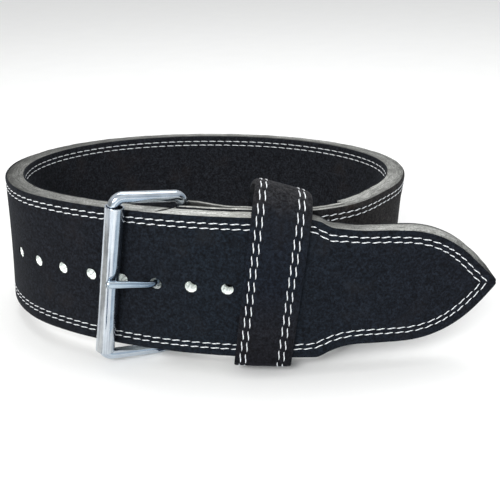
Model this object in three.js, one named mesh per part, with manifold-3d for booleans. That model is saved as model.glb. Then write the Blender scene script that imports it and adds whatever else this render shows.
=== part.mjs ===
// Weightlifting belt: a thick suede strap, fastened into a loop by a roller buckle
// Millimetres, Z up. The belt stands on its lower edge, with the buckle towards -Y.
import * as THREE from 'three';
import * as BufferGeometryUtils from 'three/addons/utils/BufferGeometryUtils.js';
import { ConvexHull } from 'three/addons/math/ConvexHull.js';
import Module from 'manifold-3d';

// Driving dimensions of the strap
const STRAP_WIDTH = 101.6;
const CORE_THICKNESS = 12.2;
const SUEDE_THICKNESS = 1;
const PLY_GAP = 0.3;
const SUEDE_SETBACK = 0.3;
const LOOP_WIDTH = 320;
const LOOP_DEPTH = 255;
const TIP_LENGTH = 125;
const OVERLAP_GAP = 1.4;
const SECTION_STEP = 8;

// Driving dimensions of the holes, counted from the tip
const HOLE_COUNT = 8;
const HOLE_DIAMETER = 8.4;
const HOLE_PITCH = 25;
const FIRST_HOLE_FROM_TIP = 187;
const FASTENED_HOLE = 2;
const HOLE_SIDES = 16;

// Driving dimensions of the thinned end that folds round the rear bar
const FOLD_LEATHER = 3.6;
const STEP_PAST_KEEPER = 42;
const FOLD_TAPER = 24;
const PRONG_SLOT_HEIGHT = 12;
const FOLD_STATIONS = 22;
const BEND_STATIONS = 12;

// Driving dimensions of the buckle
const WIRE_DIAMETER = 8;
const FRAME_DEPTH = 48.5;
const FRAME_CLEARANCE = 5.2;
const FRAME_CORNER_RADIUS = 6.6;
const ROLLER_DIAMETER = 13.2;
const ROLLER_WALL = 1.2;
const ROLLER_PAST_STRAIGHT = 1.4;
const ROLLER_DROP = 0.8;
const PRONG_THICKNESS = 4.8;
const PRONG_HEIGHT = 5.6;
const EYE_THICKNESS = 3.6;
const BAR_BEFORE_HOLE = 5;
const PRONG_PAST_ROLLER = 3;
const PRONG_RISE = 0.9;
const PRONG_SAG = 2;
const RUNNING_GAP = 0.3;
const BUCKLE_LEAN = THREE.MathUtils.degToRad(8);

// Driving dimensions of the keeper
const KEEPER_WIDTH = 39;
const KEEPER_THICKNESS = 2.8;
const KEEPER_FROM_TIP = 157;
const KEEPER_RISE = 16;
const KEEPER_SLOPE = 10;
const KEEPER_DROP = 4.2;
const KEEPER_CORNER = 2.2;
const KEEPER_GAP = 0.4;
const KEEPER_LEAN = THREE.MathUtils.degToRad(6);
const KEEPER_STATIONS = 5;

// Densities in g/cm3, which place the balance point of the resting belt
const LEATHER_DENSITY = 0.95;
const SUEDE_DENSITY = 0.75;
const STEEL_DENSITY = 7.85;

// The strap's outer face seen from above: across is a share of LOOP_WIDTH from the
// loop's middle, back is a share of LOOP_DEPTH from the front
const LOOP = [
  { across: 0.646, back: 0.064 },
  { across: 0.476, back: 0.033 },
  { across: 0.369, back: 0.015 },
  { across: 0.262, back: 0.004 },
  { across: 0.160, back: 0.002 },
  { across: 0.060, back: 0.011 },
  { across: -0.050, back: 0.034 },
  { across: -0.180, back: 0.082 },
  { across: -0.300, back: 0.148 },
  { across: -0.400, back: 0.236 },
  { across: -0.466, back: 0.344 },
  { across: -0.498, back: 0.470 },
  { across: -0.492, back: 0.610 },
  { across: -0.436, back: 0.758 },
  { across: -0.326, back: 0.886 },
  { across: -0.170, back: 0.972 },
  { across: 0.000, back: 1.000 },
  { across: 0.160, back: 0.978 },
  { across: 0.300, back: 0.908 },
  { across: 0.414, back: 0.794 },
  { across: 0.482, back: 0.655 },
  { across: 0.500, back: 0.520 },
  { across: 0.473, back: 0.366 },
  { across: 0.416, back: 0.241 },
  { across: 0.340, back: 0.128 },
];

// The outline of the tip: along is a share of TIP_LENGTH from the point, half is a
// share of half the strap's width
const TIP = [
  { along: 0.000, half: 0.030 },
  { along: 0.020, half: 0.090 },
  { along: 0.086, half: 0.270 },
  { along: 0.166, half: 0.465 },
  { along: 0.246, half: 0.608 },
  { along: 0.326, half: 0.706 },
  { along: 0.406, half: 0.770 },
  { along: 0.500, half: 0.805 },
  { along: 0.640, half: 0.812 },
  { along: 0.780, half: 0.818 },
  { along: 0.860, half: 0.845 },
  { along: 0.925, half: 0.905 },
  { along: 0.970, half: 0.965 },
  { along: 1.000, half: 1.000 },
];

// Sizes that follow
const STRAP_THICKNESS = CORE_THICKNESS + 2 * (SUEDE_THICKNESS + PLY_GAP);
const MIDDLE = STRAP_WIDTH / 2;
const FOLD_PLY = SUEDE_THICKNESS + PLY_GAP + FOLD_LEATHER;
const FOLD_FLAT = 2 * FOLD_PLY + PLY_GAP;
const BEND_RADIUS = FOLD_PLY + RUNNING_GAP + WIRE_DIAMETER / 2;
const FASTENED_AT = FIRST_HOLE_FROM_TIP + FASTENED_HOLE * HOLE_PITCH;
const BAR_AT = FASTENED_AT - BAR_BEFORE_HOLE;
const FRAME_HEIGHT = STRAP_WIDTH + 2 * FRAME_CLEARANCE + WIRE_DIAMETER;
const ROLLER_BORE = ROLLER_DIAMETER / 2 - ROLLER_WALL;

const wasm = await Module();
wasm.setup();

// The path of the strap's outer face, from the tip round to the rear bar
function plan(across, back) {
  return new THREE.Vector3(across * LOOP_WIDTH, back * LOOP_DEPTH, 0);
}

function inward(tangent) {
  return new THREE.Vector3(tangent.y, -tangent.x, 0).normalize();
}

class Line {
  constructor(points) {
    this.curve = new THREE.CatmullRomCurve3(points, false, 'centripetal');
    this.curve.arcLengthDivisions = 2000;
    this.length = this.curve.getLength();
  }

  tangent(at) {
    return this.curve.getTangentAt(THREE.MathUtils.clamp(at / this.length, 0, 1));
  }

  // The point at a distance along the outer face, and at a depth into the strap
  at(distance, depth = 0, height = 0) {
    const tangent = this.tangent(distance);
    const point = this.curve.getPointAt(THREE.MathUtils.clamp(distance / this.length, 0, 1));
    point.addScaledVector(inward(tangent), depth);
    point.z = height;
    return point;
  }
}

function strapLine() {
  const loop = LOOP.map(({ across, back }) => plan(across, back));
  const front = new Line(loop);
  const behind = STRAP_THICKNESS + OVERLAP_GAP;
  const shares = [0, 0.12, 0.3, 0.5, 0.75, 1];
  const start = KEEPER_FROM_TIP - KEEPER_WIDTH / 2 - MIDDLE * Math.tan(KEEPER_LEAN) - KEEPER_RISE / 4;
  const end = BAR_AT + BEND_RADIUS;
  const overlap = shares.map((share) => front.at(THREE.MathUtils.lerp(start, end, share), behind));
  return new Line([...loop, ...overlap]);
}

const strap = strapLine();

// The distance along the strap, on its second turn, that lies behind a distance on the tongue
function behindTongue(distance) {
  const target = strap.at(distance, STRAP_THICKNESS + OVERLAP_GAP);
  let low = strap.length * 0.75;
  let high = strap.length;
  for (let i = 0; i < 40; i += 1) {
    const middle = (low + high) / 2;
    const offset = target.clone().sub(strap.at(middle));
    if (offset.dot(strap.tangent(middle)) > 0) low = middle;
    else high = middle;
  }
  return low;
}

// The bars lean along the strap. Over half the strap's height they drift off its curved
// face by this much at a distance along it.
const LEAN_ALONG = strap.tangent(BAR_AT + FRAME_DEPTH / 2).negate();
const BARS_UP = LEAN_ALONG.clone().multiplyScalar(Math.sin(BUCKLE_LEAN)).setZ(Math.cos(BUCKLE_LEAN));

function drift(distance) {
  return Math.abs(inward(strap.tangent(distance)).dot(LEAN_ALONG)) * Math.tan(BUCKLE_LEAN) * MIDDLE;
}

const BAR_STATION = behindTongue(BAR_AT);
const STEP_STATION = behindTongue(KEEPER_FROM_TIP - KEEPER_WIDTH / 2 - STEP_PAST_KEEPER);

// Solids
function signedVolume(position, index) {
  const [a, b, c] = [new THREE.Vector3(), new THREE.Vector3(), new THREE.Vector3()];
  let sum = 0;
  for (let i = 0; i < index.length; i += 3) {
    a.fromArray(position, 3 * index[i]);
    b.fromArray(position, 3 * index[i + 1]);
    c.fromArray(position, 3 * index[i + 2]);
    sum += a.dot(b.cross(c)) / 6;
  }
  return sum;
}

// A closed solid through rings of points, either capped at its ends or joined round. Both
// long faces of a ply are split along the same diagonals, so that plies stay parallel.
function loft(rings, joined = false) {
  const count = rings[0].length;
  const position = rings.flat().flatMap((point) => point.toArray());
  const index = [];
  const last = joined ? rings.length : rings.length - 1;
  for (let i = 0; i < last; i += 1) {
    const here = i * count;
    const next = ((i + 1) % rings.length) * count;
    for (let j = 0; j < count; j += 1) {
      const k = (j + 1) % count;
      if (j < count / 2) index.push(here + j, next + j, next + k, here + j, next + k, here + k);
      else index.push(here + j, next + j, here + k, next + j, next + k, here + k);
    }
  }
  if (!joined) {
    const end = (rings.length - 1) * count;
    for (let j = 1; j < count - 1; j += 1) {
      index.push(0, j, j + 1);
      index.push(end, end + j + 1, end + j);
    }
  }
  if (signedVolume(position, index) < 0) index.reverse();
  const geometry = new THREE.BufferGeometry();
  geometry.setAttribute('position', new THREE.Float32BufferAttribute(position, 3));
  geometry.setIndex(index);
  return geometry;
}

function toManifold(geometry) {
  const bare = geometry.clone();
  bare.deleteAttribute('normal');
  bare.deleteAttribute('uv');
  const merged = BufferGeometryUtils.mergeVertices(bare, 1e-4);
  return new wasm.Manifold(new wasm.Mesh({
    numProp: 3,
    vertProperties: merged.attributes.position.array,
    triVerts: new Uint32Array(merged.index.array),
  }));
}

function fromManifold(manifold) {
  const mesh = manifold.getMesh();
  const geometry = new THREE.BufferGeometry();
  geometry.setAttribute('position', new THREE.BufferAttribute(mesh.vertProperties, 3));
  geometry.setIndex(new THREE.BufferAttribute(mesh.triVerts, 1));
  return geometry;
}

function cut(geometry, tools) {
  let solid = toManifold(geometry);
  for (const tool of tools) solid = solid.subtract(toManifold(tool));
  return fromManifold(solid);
}

// The wire or tube section: an ellipse round a centre, in the plane of two directions
function ellipse(centre, across, along, sides) {
  return Array.from({ length: sides }, (_, i) => {
    const angle = (2 * Math.PI * (i + 0.5)) / sides;
    return centre.clone()
      .addScaledVector(across, Math.cos(angle))
      .addScaledVector(along, Math.sin(angle));
  });
}

// The strap's stations, closer together where the tip narrows
function stations(end) {
  const fine = [0, 1.2, 3, 6, 10, 15, 20].filter((distance) => distance < TIP_LENGTH / 2);
  const list = [...fine];
  for (let at = 26; at < TIP_LENGTH; at += SECTION_STEP * 0.75) list.push(at);
  const count = Math.ceil((end - TIP_LENGTH) / SECTION_STEP);
  for (let i = 0; i <= count; i += 1) list.push(TIP_LENGTH + ((end - TIP_LENGTH) * i) / count);
  return list;
}

const tipOutline = new THREE.SplineCurve(TIP.map(({ along, half }) => new THREE.Vector2(along, half)));
const tipPoints = tipOutline.getPoints(400);

function halfWidth(distance) {
  const along = distance / TIP_LENGTH;
  const next = tipPoints.findIndex((point) => point.x >= along);
  if (next < 0) return MIDDLE;
  if (next === 0) return TIP[0].half * MIDDLE;
  const [before, after] = [tipPoints[next - 1], tipPoints[next]];
  const share = (along - before.x) / (after.x - before.x);
  return THREE.MathUtils.lerp(before.y, after.y, share) * MIDDLE;
}

// One section of a ply between two depths, as four corners
function section(distance, near, far, setback) {
  const half = Math.max(halfWidth(distance) - setback, TIP[0].half * MIDDLE / 2);
  const [low, high] = [MIDDLE - half, MIDDLE + half];
  return [
    strap.at(distance, near, low),
    strap.at(distance, near, high),
    strap.at(distance, far, high),
    strap.at(distance, far, low),
  ];
}

function holes() {
  const list = [];
  for (let i = 0; i < HOLE_COUNT; i += 1) {
    const distance = FIRST_HOLE_FROM_TIP + i * HOLE_PITCH;
    const centre = strap.at(distance, STRAP_THICKNESS / 2, MIDDLE);
    const tool = new THREE.CylinderGeometry(
      HOLE_DIAMETER / 2, HOLE_DIAMETER / 2, STRAP_THICKNESS + OVERLAP_GAP, HOLE_SIDES);
    const turn = new THREE.Quaternion().setFromUnitVectors(
      new THREE.Vector3(0, 1, 0), inward(strap.tangent(distance)));
    tool.applyQuaternion(turn);
    tool.translate(centre.x, centre.y, centre.z);
    list.push(tool);
  }
  return list;
}

// The middle line of the rear bar at a height
function rearBar(height) {
  const middle = strap.at(BAR_STATION, BEND_RADIUS + drift(BAR_STATION), MIDDLE);
  return middle.addScaledVector(BARS_UP, (height - MIDDLE) / BARS_UP.z);
}

// The fold round the rear bar, as rings of a ply between two depths. At each height the
// bend lies on the bar, which leans along the strap.
function foldRings(near, far, setback) {
  const levels = [setback, STRAP_WIDTH - setback];
  const legs = levels.map(foldLine);
  return legs[0].map((low, i) => {
    const high = legs[1][i];
    const corner = (side, depth, height) => {
      const point = side.face.clone().addScaledVector(side.into, depth);
      point.z = height;
      return point;
    };
    return [
      corner(low, near, levels[0]),
      corner(high, near, levels[1]),
      corner(high, far, levels[1]),
      corner(low, far, levels[0]),
    ];
  });
}

// The suede face of the fold at one height: out to the bar, round it and back
function foldLine(height) {
  const line = [];
  const bar = BAR_STATION - (height - MIDDLE) * Math.tan(BUCKLE_LEAN);
  const normal = inward(strap.tangent(bar));
  const forward = strap.tangent(bar);
  const centre = rearBar(height).setZ(0);
  const stand = centre.clone().sub(strap.at(bar)).dot(normal) - BEND_RADIUS;
  const nearBar = (distance) => 1 - THREE.MathUtils.smoothstep(bar - distance, 0, FOLD_TAPER);
  for (let i = 0; i < FOLD_STATIONS; i += 1) {
    const distance = THREE.MathUtils.lerp(STEP_STATION + PLY_GAP, bar, i / FOLD_STATIONS);
    const face = strap.at(distance, stand * nearBar(distance));
    line.push({ face, into: inward(strap.tangent(distance)) });
  }
  for (let i = 0; i <= BEND_STATIONS; i += 1) {
    const angle = (Math.PI * i) / BEND_STATIONS;
    const out = normal.clone().multiplyScalar(-Math.cos(angle));
    out.addScaledVector(forward, Math.sin(angle));
    line.push({ face: centre.clone().addScaledVector(out, BEND_RADIUS), into: out.negate() });
  }
  for (let i = 1; i <= FOLD_STATIONS; i += 1) {
    const distance = THREE.MathUtils.lerp(bar, STEP_STATION + PLY_GAP, i / FOLD_STATIONS);
    const depth = THREE.MathUtils.lerp(FOLD_FLAT, 2 * BEND_RADIUS + stand, nearBar(distance));
    const into = inward(strap.tangent(distance)).negate();
    line.push({ face: strap.at(distance, depth), into });
  }
  return line;
}

function slotTool() {
  const centre = strap.at(BAR_STATION, BEND_RADIUS, MIDDLE);
  const size = 4 * BEND_RADIUS;
  const tool = new THREE.BoxGeometry(size, size, PRONG_SLOT_HEIGHT);
  const forward = strap.tangent(BAR_STATION);
  tool.rotateZ(Math.atan2(forward.y, forward.x));
  centre.addScaledVector(forward, size / 2 - BEND_RADIUS);
  tool.translate(centre.x, centre.y, centre.z);
  return tool;
}

function outerSuede() {
  const list = stations(STEP_STATION - PLY_GAP);
  const flat = list.map((distance) => section(distance, 0, SUEDE_THICKNESS, SUEDE_SETBACK));
  const fold = foldRings(0, SUEDE_THICKNESS, SUEDE_SETBACK);
  return cut(loft([...flat, ...fold]), [...holes(), slotTool()]);
}

function leatherCore() {
  const near = SUEDE_THICKNESS + PLY_GAP;
  const list = stations(STEP_STATION);
  return cut(loft(list.map((distance) => section(distance, near, near + CORE_THICKNESS, 0))), holes());
}

function innerSuede() {
  const near = STRAP_THICKNESS - SUEDE_THICKNESS;
  const list = stations(STEP_STATION);
  const rings = list.map((distance) => section(distance, near, STRAP_THICKNESS, SUEDE_SETBACK));
  return cut(loft(rings), holes());
}

function foldLeather() {
  return cut(loft(foldRings(SUEDE_THICKNESS + PLY_GAP, FOLD_PLY, 0)), [slotTool()]);
}

// The buckle's own directions: up its bars, and from the front bar to the rear bar
function buckleAxes() {
  const up = BARS_UP;
  const rear = rearBar(MIDDLE);
  const slack = ROLLER_BORE - WIRE_DIAMETER / 2 - RUNNING_GAP;
  const rollerOn = (distance) => (
    strap.at(distance, -(RUNNING_GAP + drift(distance) + ROLLER_DIAMETER / 2), MIDDLE));
  const frontBar = (distance) => rollerOn(distance).addScaledVector(strap.tangent(distance), slack);
  let low = FASTENED_AT;
  let high = FASTENED_AT + 2 * FRAME_DEPTH;
  for (let i = 0; i < 40; i += 1) {
    const middle = (low + high) / 2;
    const across = frontBar(middle).sub(rear);
    across.addScaledVector(up, -across.dot(up));
    if (across.length() < FRAME_DEPTH) low = middle;
    else high = middle;
  }
  const front = frontBar(low);
  const across = rear.clone().sub(front);
  across.addScaledVector(up, -across.dot(up)).normalize();
  const middle = front.clone().addScaledVector(across, FRAME_DEPTH / 2);
  const rise = rear.clone().sub(front).dot(up) / 3;
  middle.addScaledVector(up, rise);
  const rollerMiddle = rollerOn(low).addScaledVector(up, rise - ROLLER_DROP);
  return { up, across, middle, rear, roller: rollerMiddle, rollerAt: low };
}

const buckle = buckleAxes();

// The wire's middle line round the frame, with the direction out of each bend
function frameLine() {
  const line = [];
  const [halfDepth, halfHeight] = [FRAME_DEPTH / 2, FRAME_HEIGHT / 2];
  const corners = [[1, 1], [-1, 1], [-1, -1], [1, -1]];
  const bendSteps = 6;
  corners.forEach(([side, level], corner) => {
    for (let i = 0; i <= bendSteps; i += 1) {
      const angle = (Math.PI / 2) * (corner + i / bendSteps);
      const out = buckle.across.clone().multiplyScalar(Math.cos(angle));
      out.addScaledVector(buckle.up, Math.sin(angle));
      const point = buckle.middle.clone()
        .addScaledVector(buckle.across, side * (halfDepth - FRAME_CORNER_RADIUS))
        .addScaledVector(buckle.up, level * (halfHeight - FRAME_CORNER_RADIUS))
        .addScaledVector(out, FRAME_CORNER_RADIUS);
      line.push({ point, out });
    }
  });
  return line;
}

function buckleFrame() {
  const normal = buckle.across.clone().cross(buckle.up).multiplyScalar(WIRE_DIAMETER / 2);
  const rings = frameLine().map(({ point, out }) => (
    ellipse(point, out.multiplyScalar(WIRE_DIAMETER / 2), normal, 14)));
  return loft(rings, true);
}

function roller() {
  const length = FRAME_HEIGHT - 2 * FRAME_CORNER_RADIUS + 2 * ROLLER_PAST_STRAIGHT;
  const [outer, inner] = [ROLLER_DIAMETER / 2, ROLLER_BORE];
  const profile = [
    new THREE.Vector2(inner, -length / 2),
    new THREE.Vector2(outer, -length / 2),
    new THREE.Vector2(outer, length / 2),
    new THREE.Vector2(inner, length / 2),
    new THREE.Vector2(inner, -length / 2),
  ];
  const geometry = new THREE.LatheGeometry(profile, 28);
  geometry.applyQuaternion(new THREE.Quaternion().setFromUnitVectors(
    new THREE.Vector3(0, 1, 0), buckle.up));
  geometry.translate(buckle.roller.x, buckle.roller.y, buckle.roller.z);
  const bare = geometry.clone();
  bare.deleteAttribute('normal');
  bare.deleteAttribute('uv');
  return BufferGeometryUtils.mergeVertices(bare, 1e-4);
}

// The prong: an eye round the rear bar and a rod through the fastened hole to the roller
function prong() {
  const { up } = buckle;
  const onPlane = (point, base) => {
    const rise = base.clone().sub(point).dot(up) / up.dot(up);
    return point.clone().addScaledVector(up, rise);
  };
  const mouth = strap.at(FASTENED_AT, 0, MIDDLE + PRONG_RISE);
  const inside = strap.at(FASTENED_AT, STRAP_THICKNESS, MIDDLE + PRONG_RISE);
  const outward = inward(strap.tangent(FASTENED_AT)).negate();
  const eye = onPlane(buckle.rear, mouth);
  const eyeRadius = WIRE_DIAMETER / 2 + RUNNING_GAP + EYE_THICKNESS / 2;
  const toEye = inside.clone().sub(eye).normalize();
  const start = eye.clone().addScaledVector(toEye, eyeRadius);
  const leaving = mouth.clone()
    .addScaledVector(outward, 0.75 * PRONG_THICKNESS)
    .addScaledVector(strap.tangent(FASTENED_AT), PRONG_THICKNESS / 2);

  // From the hole the rod runs straight, over the roller on the side away from the strap
  const toRoller = onPlane(buckle.roller, leaving).sub(leaving);
  const reach = toRoller.length();
  const lift = ROLLER_DIAMETER / 2 + 2 * RUNNING_GAP + PRONG_THICKNESS / 2;
  const along = toRoller.clone().normalize();
  const over = outward.clone().addScaledVector(along, -outward.dot(along)).normalize();
  const direction = along.multiplyScalar(Math.sqrt(1 - (lift / reach) ** 2));
  direction.addScaledVector(over, lift / reach);
  const touch = Math.sqrt(reach ** 2 - lift ** 2);
  const onRod = (length) => leaving.clone()
    .addScaledVector(direction, length)
    .addScaledVector(up, (-PRONG_SAG * length) / touch);
  const points = [start, inside, mouth, leaving, onRod(touch / 2), onRod(touch + PRONG_PAST_ROLLER)];
  const path = new THREE.CatmullRomCurve3(points, false, 'centripetal');
  const rodRings = Array.from({ length: 31 }, (_, i) => {
    const point = path.getPointAt(i / 30);
    const tangent = path.getTangentAt(i / 30);
    const across = tangent.clone().cross(up).normalize().multiplyScalar(PRONG_THICKNESS / 2);
    const tall = up.clone().multiplyScalar(PRONG_HEIGHT / 2);
    return ellipse(point, across, tall, 12);
  });
  const eyeRings = Array.from({ length: 24 }, (_, i) => {
    const angle = (2 * Math.PI * i) / 24;
    const radial = buckle.across.clone().multiplyScalar(Math.cos(angle));
    radial.addScaledVector(buckle.across.clone().cross(up).normalize(), Math.sin(angle));
    const centre = eye.clone().addScaledVector(radial, eyeRadius);
    const tall = up.clone().multiplyScalar(PRONG_HEIGHT / 2);
    return ellipse(centre, radial.multiplyScalar(EYE_THICKNESS / 2), tall, 12);
  });
  const rod = toManifold(loft(rodRings));
  return fromManifold(rod.add(toManifold(loft(eyeRings, true))));
}

// The keeper's inner outline at one of its edges, as depths into the strap and heights
function keeperOutline(side) {
  const stack = STRAP_THICKNESS + OVERLAP_GAP + FOLD_FLAT;
  const [near, far] = [-KEEPER_GAP, stack + KEEPER_GAP];
  const [middle, half] = [(near + far) / 2, (far - near) / 2];
  const crest = STRAP_WIDTH + KEEPER_RISE - (side * KEEPER_SLOPE) / 2;
  const outline = [];
  const arc = (centreDepth, centreHeight, radius, rise, from, steps, sweep) => {
    for (let i = 0; i <= steps; i += 1) {
      const angle = from + (sweep * i) / steps;
      outline.push({
        depth: centreDepth + radius * Math.cos(angle),
        height: centreHeight + rise * Math.sin(angle),
        out: new THREE.Vector2(Math.cos(angle), Math.sin(angle)),
      });
    }
  };
  arc(middle, crest - half, half, half, 0, 10, Math.PI);
  arc(near + KEEPER_CORNER, KEEPER_CORNER - KEEPER_DROP, KEEPER_CORNER, KEEPER_CORNER, Math.PI, 4, Math.PI / 2);
  arc(far - KEEPER_CORNER, KEEPER_CORNER - KEEPER_DROP, KEEPER_CORNER, KEEPER_CORNER, -Math.PI / 2, 4, Math.PI / 2);
  return outline;
}

function keeper() {
  const sides = Array.from({ length: KEEPER_STATIONS }, (_, i) => (2 * i) / (KEEPER_STATIONS - 1) - 1);
  const wall = (thick) => sides.map((side) => keeperOutline(side).map(({ depth, height, out }) => {
    const level = height + out.y * thick;
    const shift = (side * KEEPER_WIDTH) / 2 + (level - MIDDLE) * Math.tan(KEEPER_LEAN);
    return strap.at(KEEPER_FROM_TIP - shift, depth + out.x * thick, level);
  }));
  const [inside, outside] = [wall(0), wall(KEEPER_THICKNESS).reverse()];
  const rings = inside[0].map((_, i) => [...inside, ...outside].map((line) => line[i]));
  return loft(rings, true);
}

// Materials and meshes
function mesh(name, geometry, color, roughness, metalness = 0) {
  geometry.computeVertexNormals();
  const material = new THREE.MeshStandardMaterial({ color, roughness, metalness });
  const result = new THREE.Mesh(geometry, material);
  result.name = name;
  return result;
}

const skins = [
  mesh('outer_suede', outerSuede(), 0x22252c, 0.95),
  mesh('inner_suede', innerSuede(), 0x212227, 0.95),
];
const leathers = [
  mesh('leather_core', leatherCore(), 0xa6a49d, 0.85),
  mesh('fold_leather', foldLeather(), 0xb0aea6, 0.85),
  mesh('keeper', keeper(), 0x24272e, 0.95),
];
const steels = [
  mesh('buckle_frame', buckleFrame(), 0xc4cad0, 0.25, 1),
  mesh('roller', roller(), 0xc4cad0, 0.25, 1),
  mesh('prong', prong(), 0xc4cad0, 0.25, 1),
];

// The way the belt stands by itself: on the face of its convex hull that lies under
// its balance point
function weigh(meshes, density, total) {
  const [a, b, c] = [new THREE.Vector3(), new THREE.Vector3(), new THREE.Vector3()];
  for (const { geometry } of meshes) {
    const position = geometry.attributes.position.array;
    const index = geometry.index.array;
    for (let i = 0; i < index.length; i += 3) {
      a.fromArray(position, 3 * index[i]);
      b.fromArray(position, 3 * index[i + 1]);
      c.fromArray(position, 3 * index[i + 2]);
      const mass = (density * a.dot(b.clone().cross(c))) / 6;
      total.mass += mass;
      total.moment.addScaledVector(a.add(b).add(c), mass / 4);
    }
  }
}

function restingTurn() {
  const total = { mass: 0, moment: new THREE.Vector3() };
  weigh(leathers, LEATHER_DENSITY, total);
  weigh(skins, SUEDE_DENSITY, total);
  weigh(steels, STEEL_DENSITY, total);
  const balance = total.moment.divideScalar(total.mass);
  const points = [...leathers, ...steels].flatMap(({ geometry }) => {
    const { position } = geometry.attributes;
    return Array.from({ length: position.count }, (_, i) => (
      new THREE.Vector3().fromBufferAttribute(position, i)));
  });
  const down = new THREE.Vector3(0, 0, -1);
  const hull = new ConvexHull().setFromPoints(points);
  const under = hull.faces.filter(({ normal }) => normal.dot(down) > 0.9).find((face) => {
    const foot = balance.clone().addScaledVector(face.normal, -face.distanceToPoint(balance));
    let edge = face.edge;
    for (let i = 0; i < 3; i += 1) {
      const [from, to] = [edge.tail().point, edge.head().point];
      const side = to.clone().sub(from).cross(foot.clone().sub(from));
      if (side.dot(face.normal) < 0) return false;
      edge = edge.next;
    }
    return true;
  });
  return new THREE.Quaternion().setFromUnitVectors(under.normal, down);
}

// The belt on the ground, with the origin under the middle of its bounding box
const belt = new THREE.Group();
belt.add(...skins, ...leathers, ...steels);
belt.quaternion.copy(restingTurn());
belt.updateMatrixWorld(true);
const bounds = new THREE.Box3().setFromObject(belt, true);
const centre = bounds.getCenter(new THREE.Vector3());
belt.position.set(-centre.x, -centre.y, -bounds.min.z);

const part = new THREE.Group();
part.add(belt);

export default part;
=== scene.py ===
"""Builds the visible weightlifting belt round its frame, and the studio that it stands in."""

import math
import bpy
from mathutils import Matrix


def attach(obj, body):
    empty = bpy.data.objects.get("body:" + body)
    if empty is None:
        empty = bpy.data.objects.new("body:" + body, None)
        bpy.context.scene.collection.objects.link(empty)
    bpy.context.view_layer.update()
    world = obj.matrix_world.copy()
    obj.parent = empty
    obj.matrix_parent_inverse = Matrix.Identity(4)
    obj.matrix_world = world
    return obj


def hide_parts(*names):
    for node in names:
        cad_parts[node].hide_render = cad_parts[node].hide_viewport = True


bl_info = {
    "name": "Weightlifting Belt",
    "version": (1, 0, 0),
    "blender": (4, 5, 0),
    "location": "View3D > Sidebar > Belt",
    "description": "A suede lifting belt with a roller buckle: cut, holed, sewn and fastened",
    "category": "Add Mesh",
}

import bmesh
import bpy
import numpy as np
from bpy.props import FloatProperty, FloatVectorProperty, IntProperty, PointerProperty, StringProperty
from mathutils import Euler, Matrix, Vector

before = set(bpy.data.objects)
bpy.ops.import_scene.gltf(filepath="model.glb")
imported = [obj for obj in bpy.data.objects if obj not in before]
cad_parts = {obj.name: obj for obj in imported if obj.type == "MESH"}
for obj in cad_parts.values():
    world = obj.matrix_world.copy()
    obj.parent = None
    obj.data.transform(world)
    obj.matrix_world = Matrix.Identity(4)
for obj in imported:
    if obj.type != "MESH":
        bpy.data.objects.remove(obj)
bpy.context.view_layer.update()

MM = 0.001

# The belt's own frame stands straight on its lower edge. On the ground it leans on the
# buckle and on the back of the loop, by this turn in degrees and this shift.
REST_TURN = (-3.398, 1.602, 0.048)
REST_SHIFT = (-23.966 * MM, -128.803 * MM, 16.351 * MM)

# The strap's outer face seen from above, as (across, back): shares of the loop's width
# from its middle and of its depth from the front, from the tip round to the buckle
LOOP = (
    (0.646, 0.064),
    (0.476, 0.033),
    (0.369, 0.015),
    (0.262, 0.004),
    (0.160, 0.002),
    (0.060, 0.011),
    (-0.050, 0.034),
    (-0.180, 0.082),
    (-0.300, 0.148),
    (-0.400, 0.236),
    (-0.461, 0.344),
    (-0.491, 0.470),
    (-0.485, 0.610),
    (-0.431, 0.758),
    (-0.326, 0.886),
    (-0.170, 0.972),
    (0.000, 1.000),
    (0.160, 0.978),
    (0.300, 0.908),
    (0.414, 0.794),
    (0.482, 0.655),
    (0.500, 0.520),
    (0.473, 0.366),
    (0.416, 0.241),
    (0.340, 0.128),
)

# The tip's outline, as (along, half): shares of the tip's length from the point and of
# half the strap's width
TIP = (
    (0.000, 0.030),
    (0.020, 0.090),
    (0.086, 0.270),
    (0.166, 0.465),
    (0.246, 0.608),
    (0.326, 0.706),
    (0.406, 0.770),
    (0.500, 0.805),
    (0.640, 0.812),
    (0.780, 0.818),
    (0.860, 0.845),
    (0.925, 0.905),
    (0.970, 0.965),
    (1.000, 1.000),
)

# How much shorter the outer suede is trimmed than the core at its upper edge, in mm, as
# (mm from the tip, short by)
TRIM = ((0, 0.6), (7, 2.4), (15, 3.3), (28, 2.9), (48, 1.9), (80, 0), (440, 0), (500, 1.1), (880, 1.1), (950, 0))

# How much further in the outer face is sewn along its lower edge, in mm, as
# (mm from the tip, further in)
LOW_ROWS = ((0, 2.1), (125, 2.3), (170, 0.9), (240, 0.8), (300, 2.4), (340, 3.0), (420, 3.0), (500, 2.4))

# Where along the overlap the second turn is pinned behind the tongue, as shares
OVERLAP_SHARES = (0, 0.12, 0.3, 0.5, 0.75, 1)

# Where the walls of the holes lie in the UV map, past the strap's own end, in metres; there the edge's table paints the
# core's hole walls bright as painted light, and at twice this it paints the crack's walls dark as painted shade
HOLE_WALL = 5.0

# Distances in from a cut edge that carry the edge's roll and the two stitch grooves
EDGE_LINES = tuple(
    MM * d
    for d in (
        0, 0.2, 0.5, 0.9, 1.5, 2.4, 3.3, 3.9, 4.3, 4.7, 5.1, 5.5,
        6.0, 6.6, 7.2, 7.6, 8.0, 8.3, 8.6, 8.9, 9.3, 9.8, 10.8, 12.5,
    )
)


def length_property(name, description, millimetres):
    """A length that the sidebar shows in the scene's own units."""
    return FloatProperty(
        name=name, description=description, default=millimetres * MM, min=0.0, unit="LENGTH", precision=5
    )


def angle_property(name, description, degrees):
    """An angle that the sidebar shows in degrees."""
    return FloatProperty(name=name, description=description, default=math.radians(degrees), unit="ROTATION")


def colour_property(name, description, code):
    """A colour kept as an sRGB hex value."""
    return StringProperty(name=name, description=description, default=code)


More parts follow.
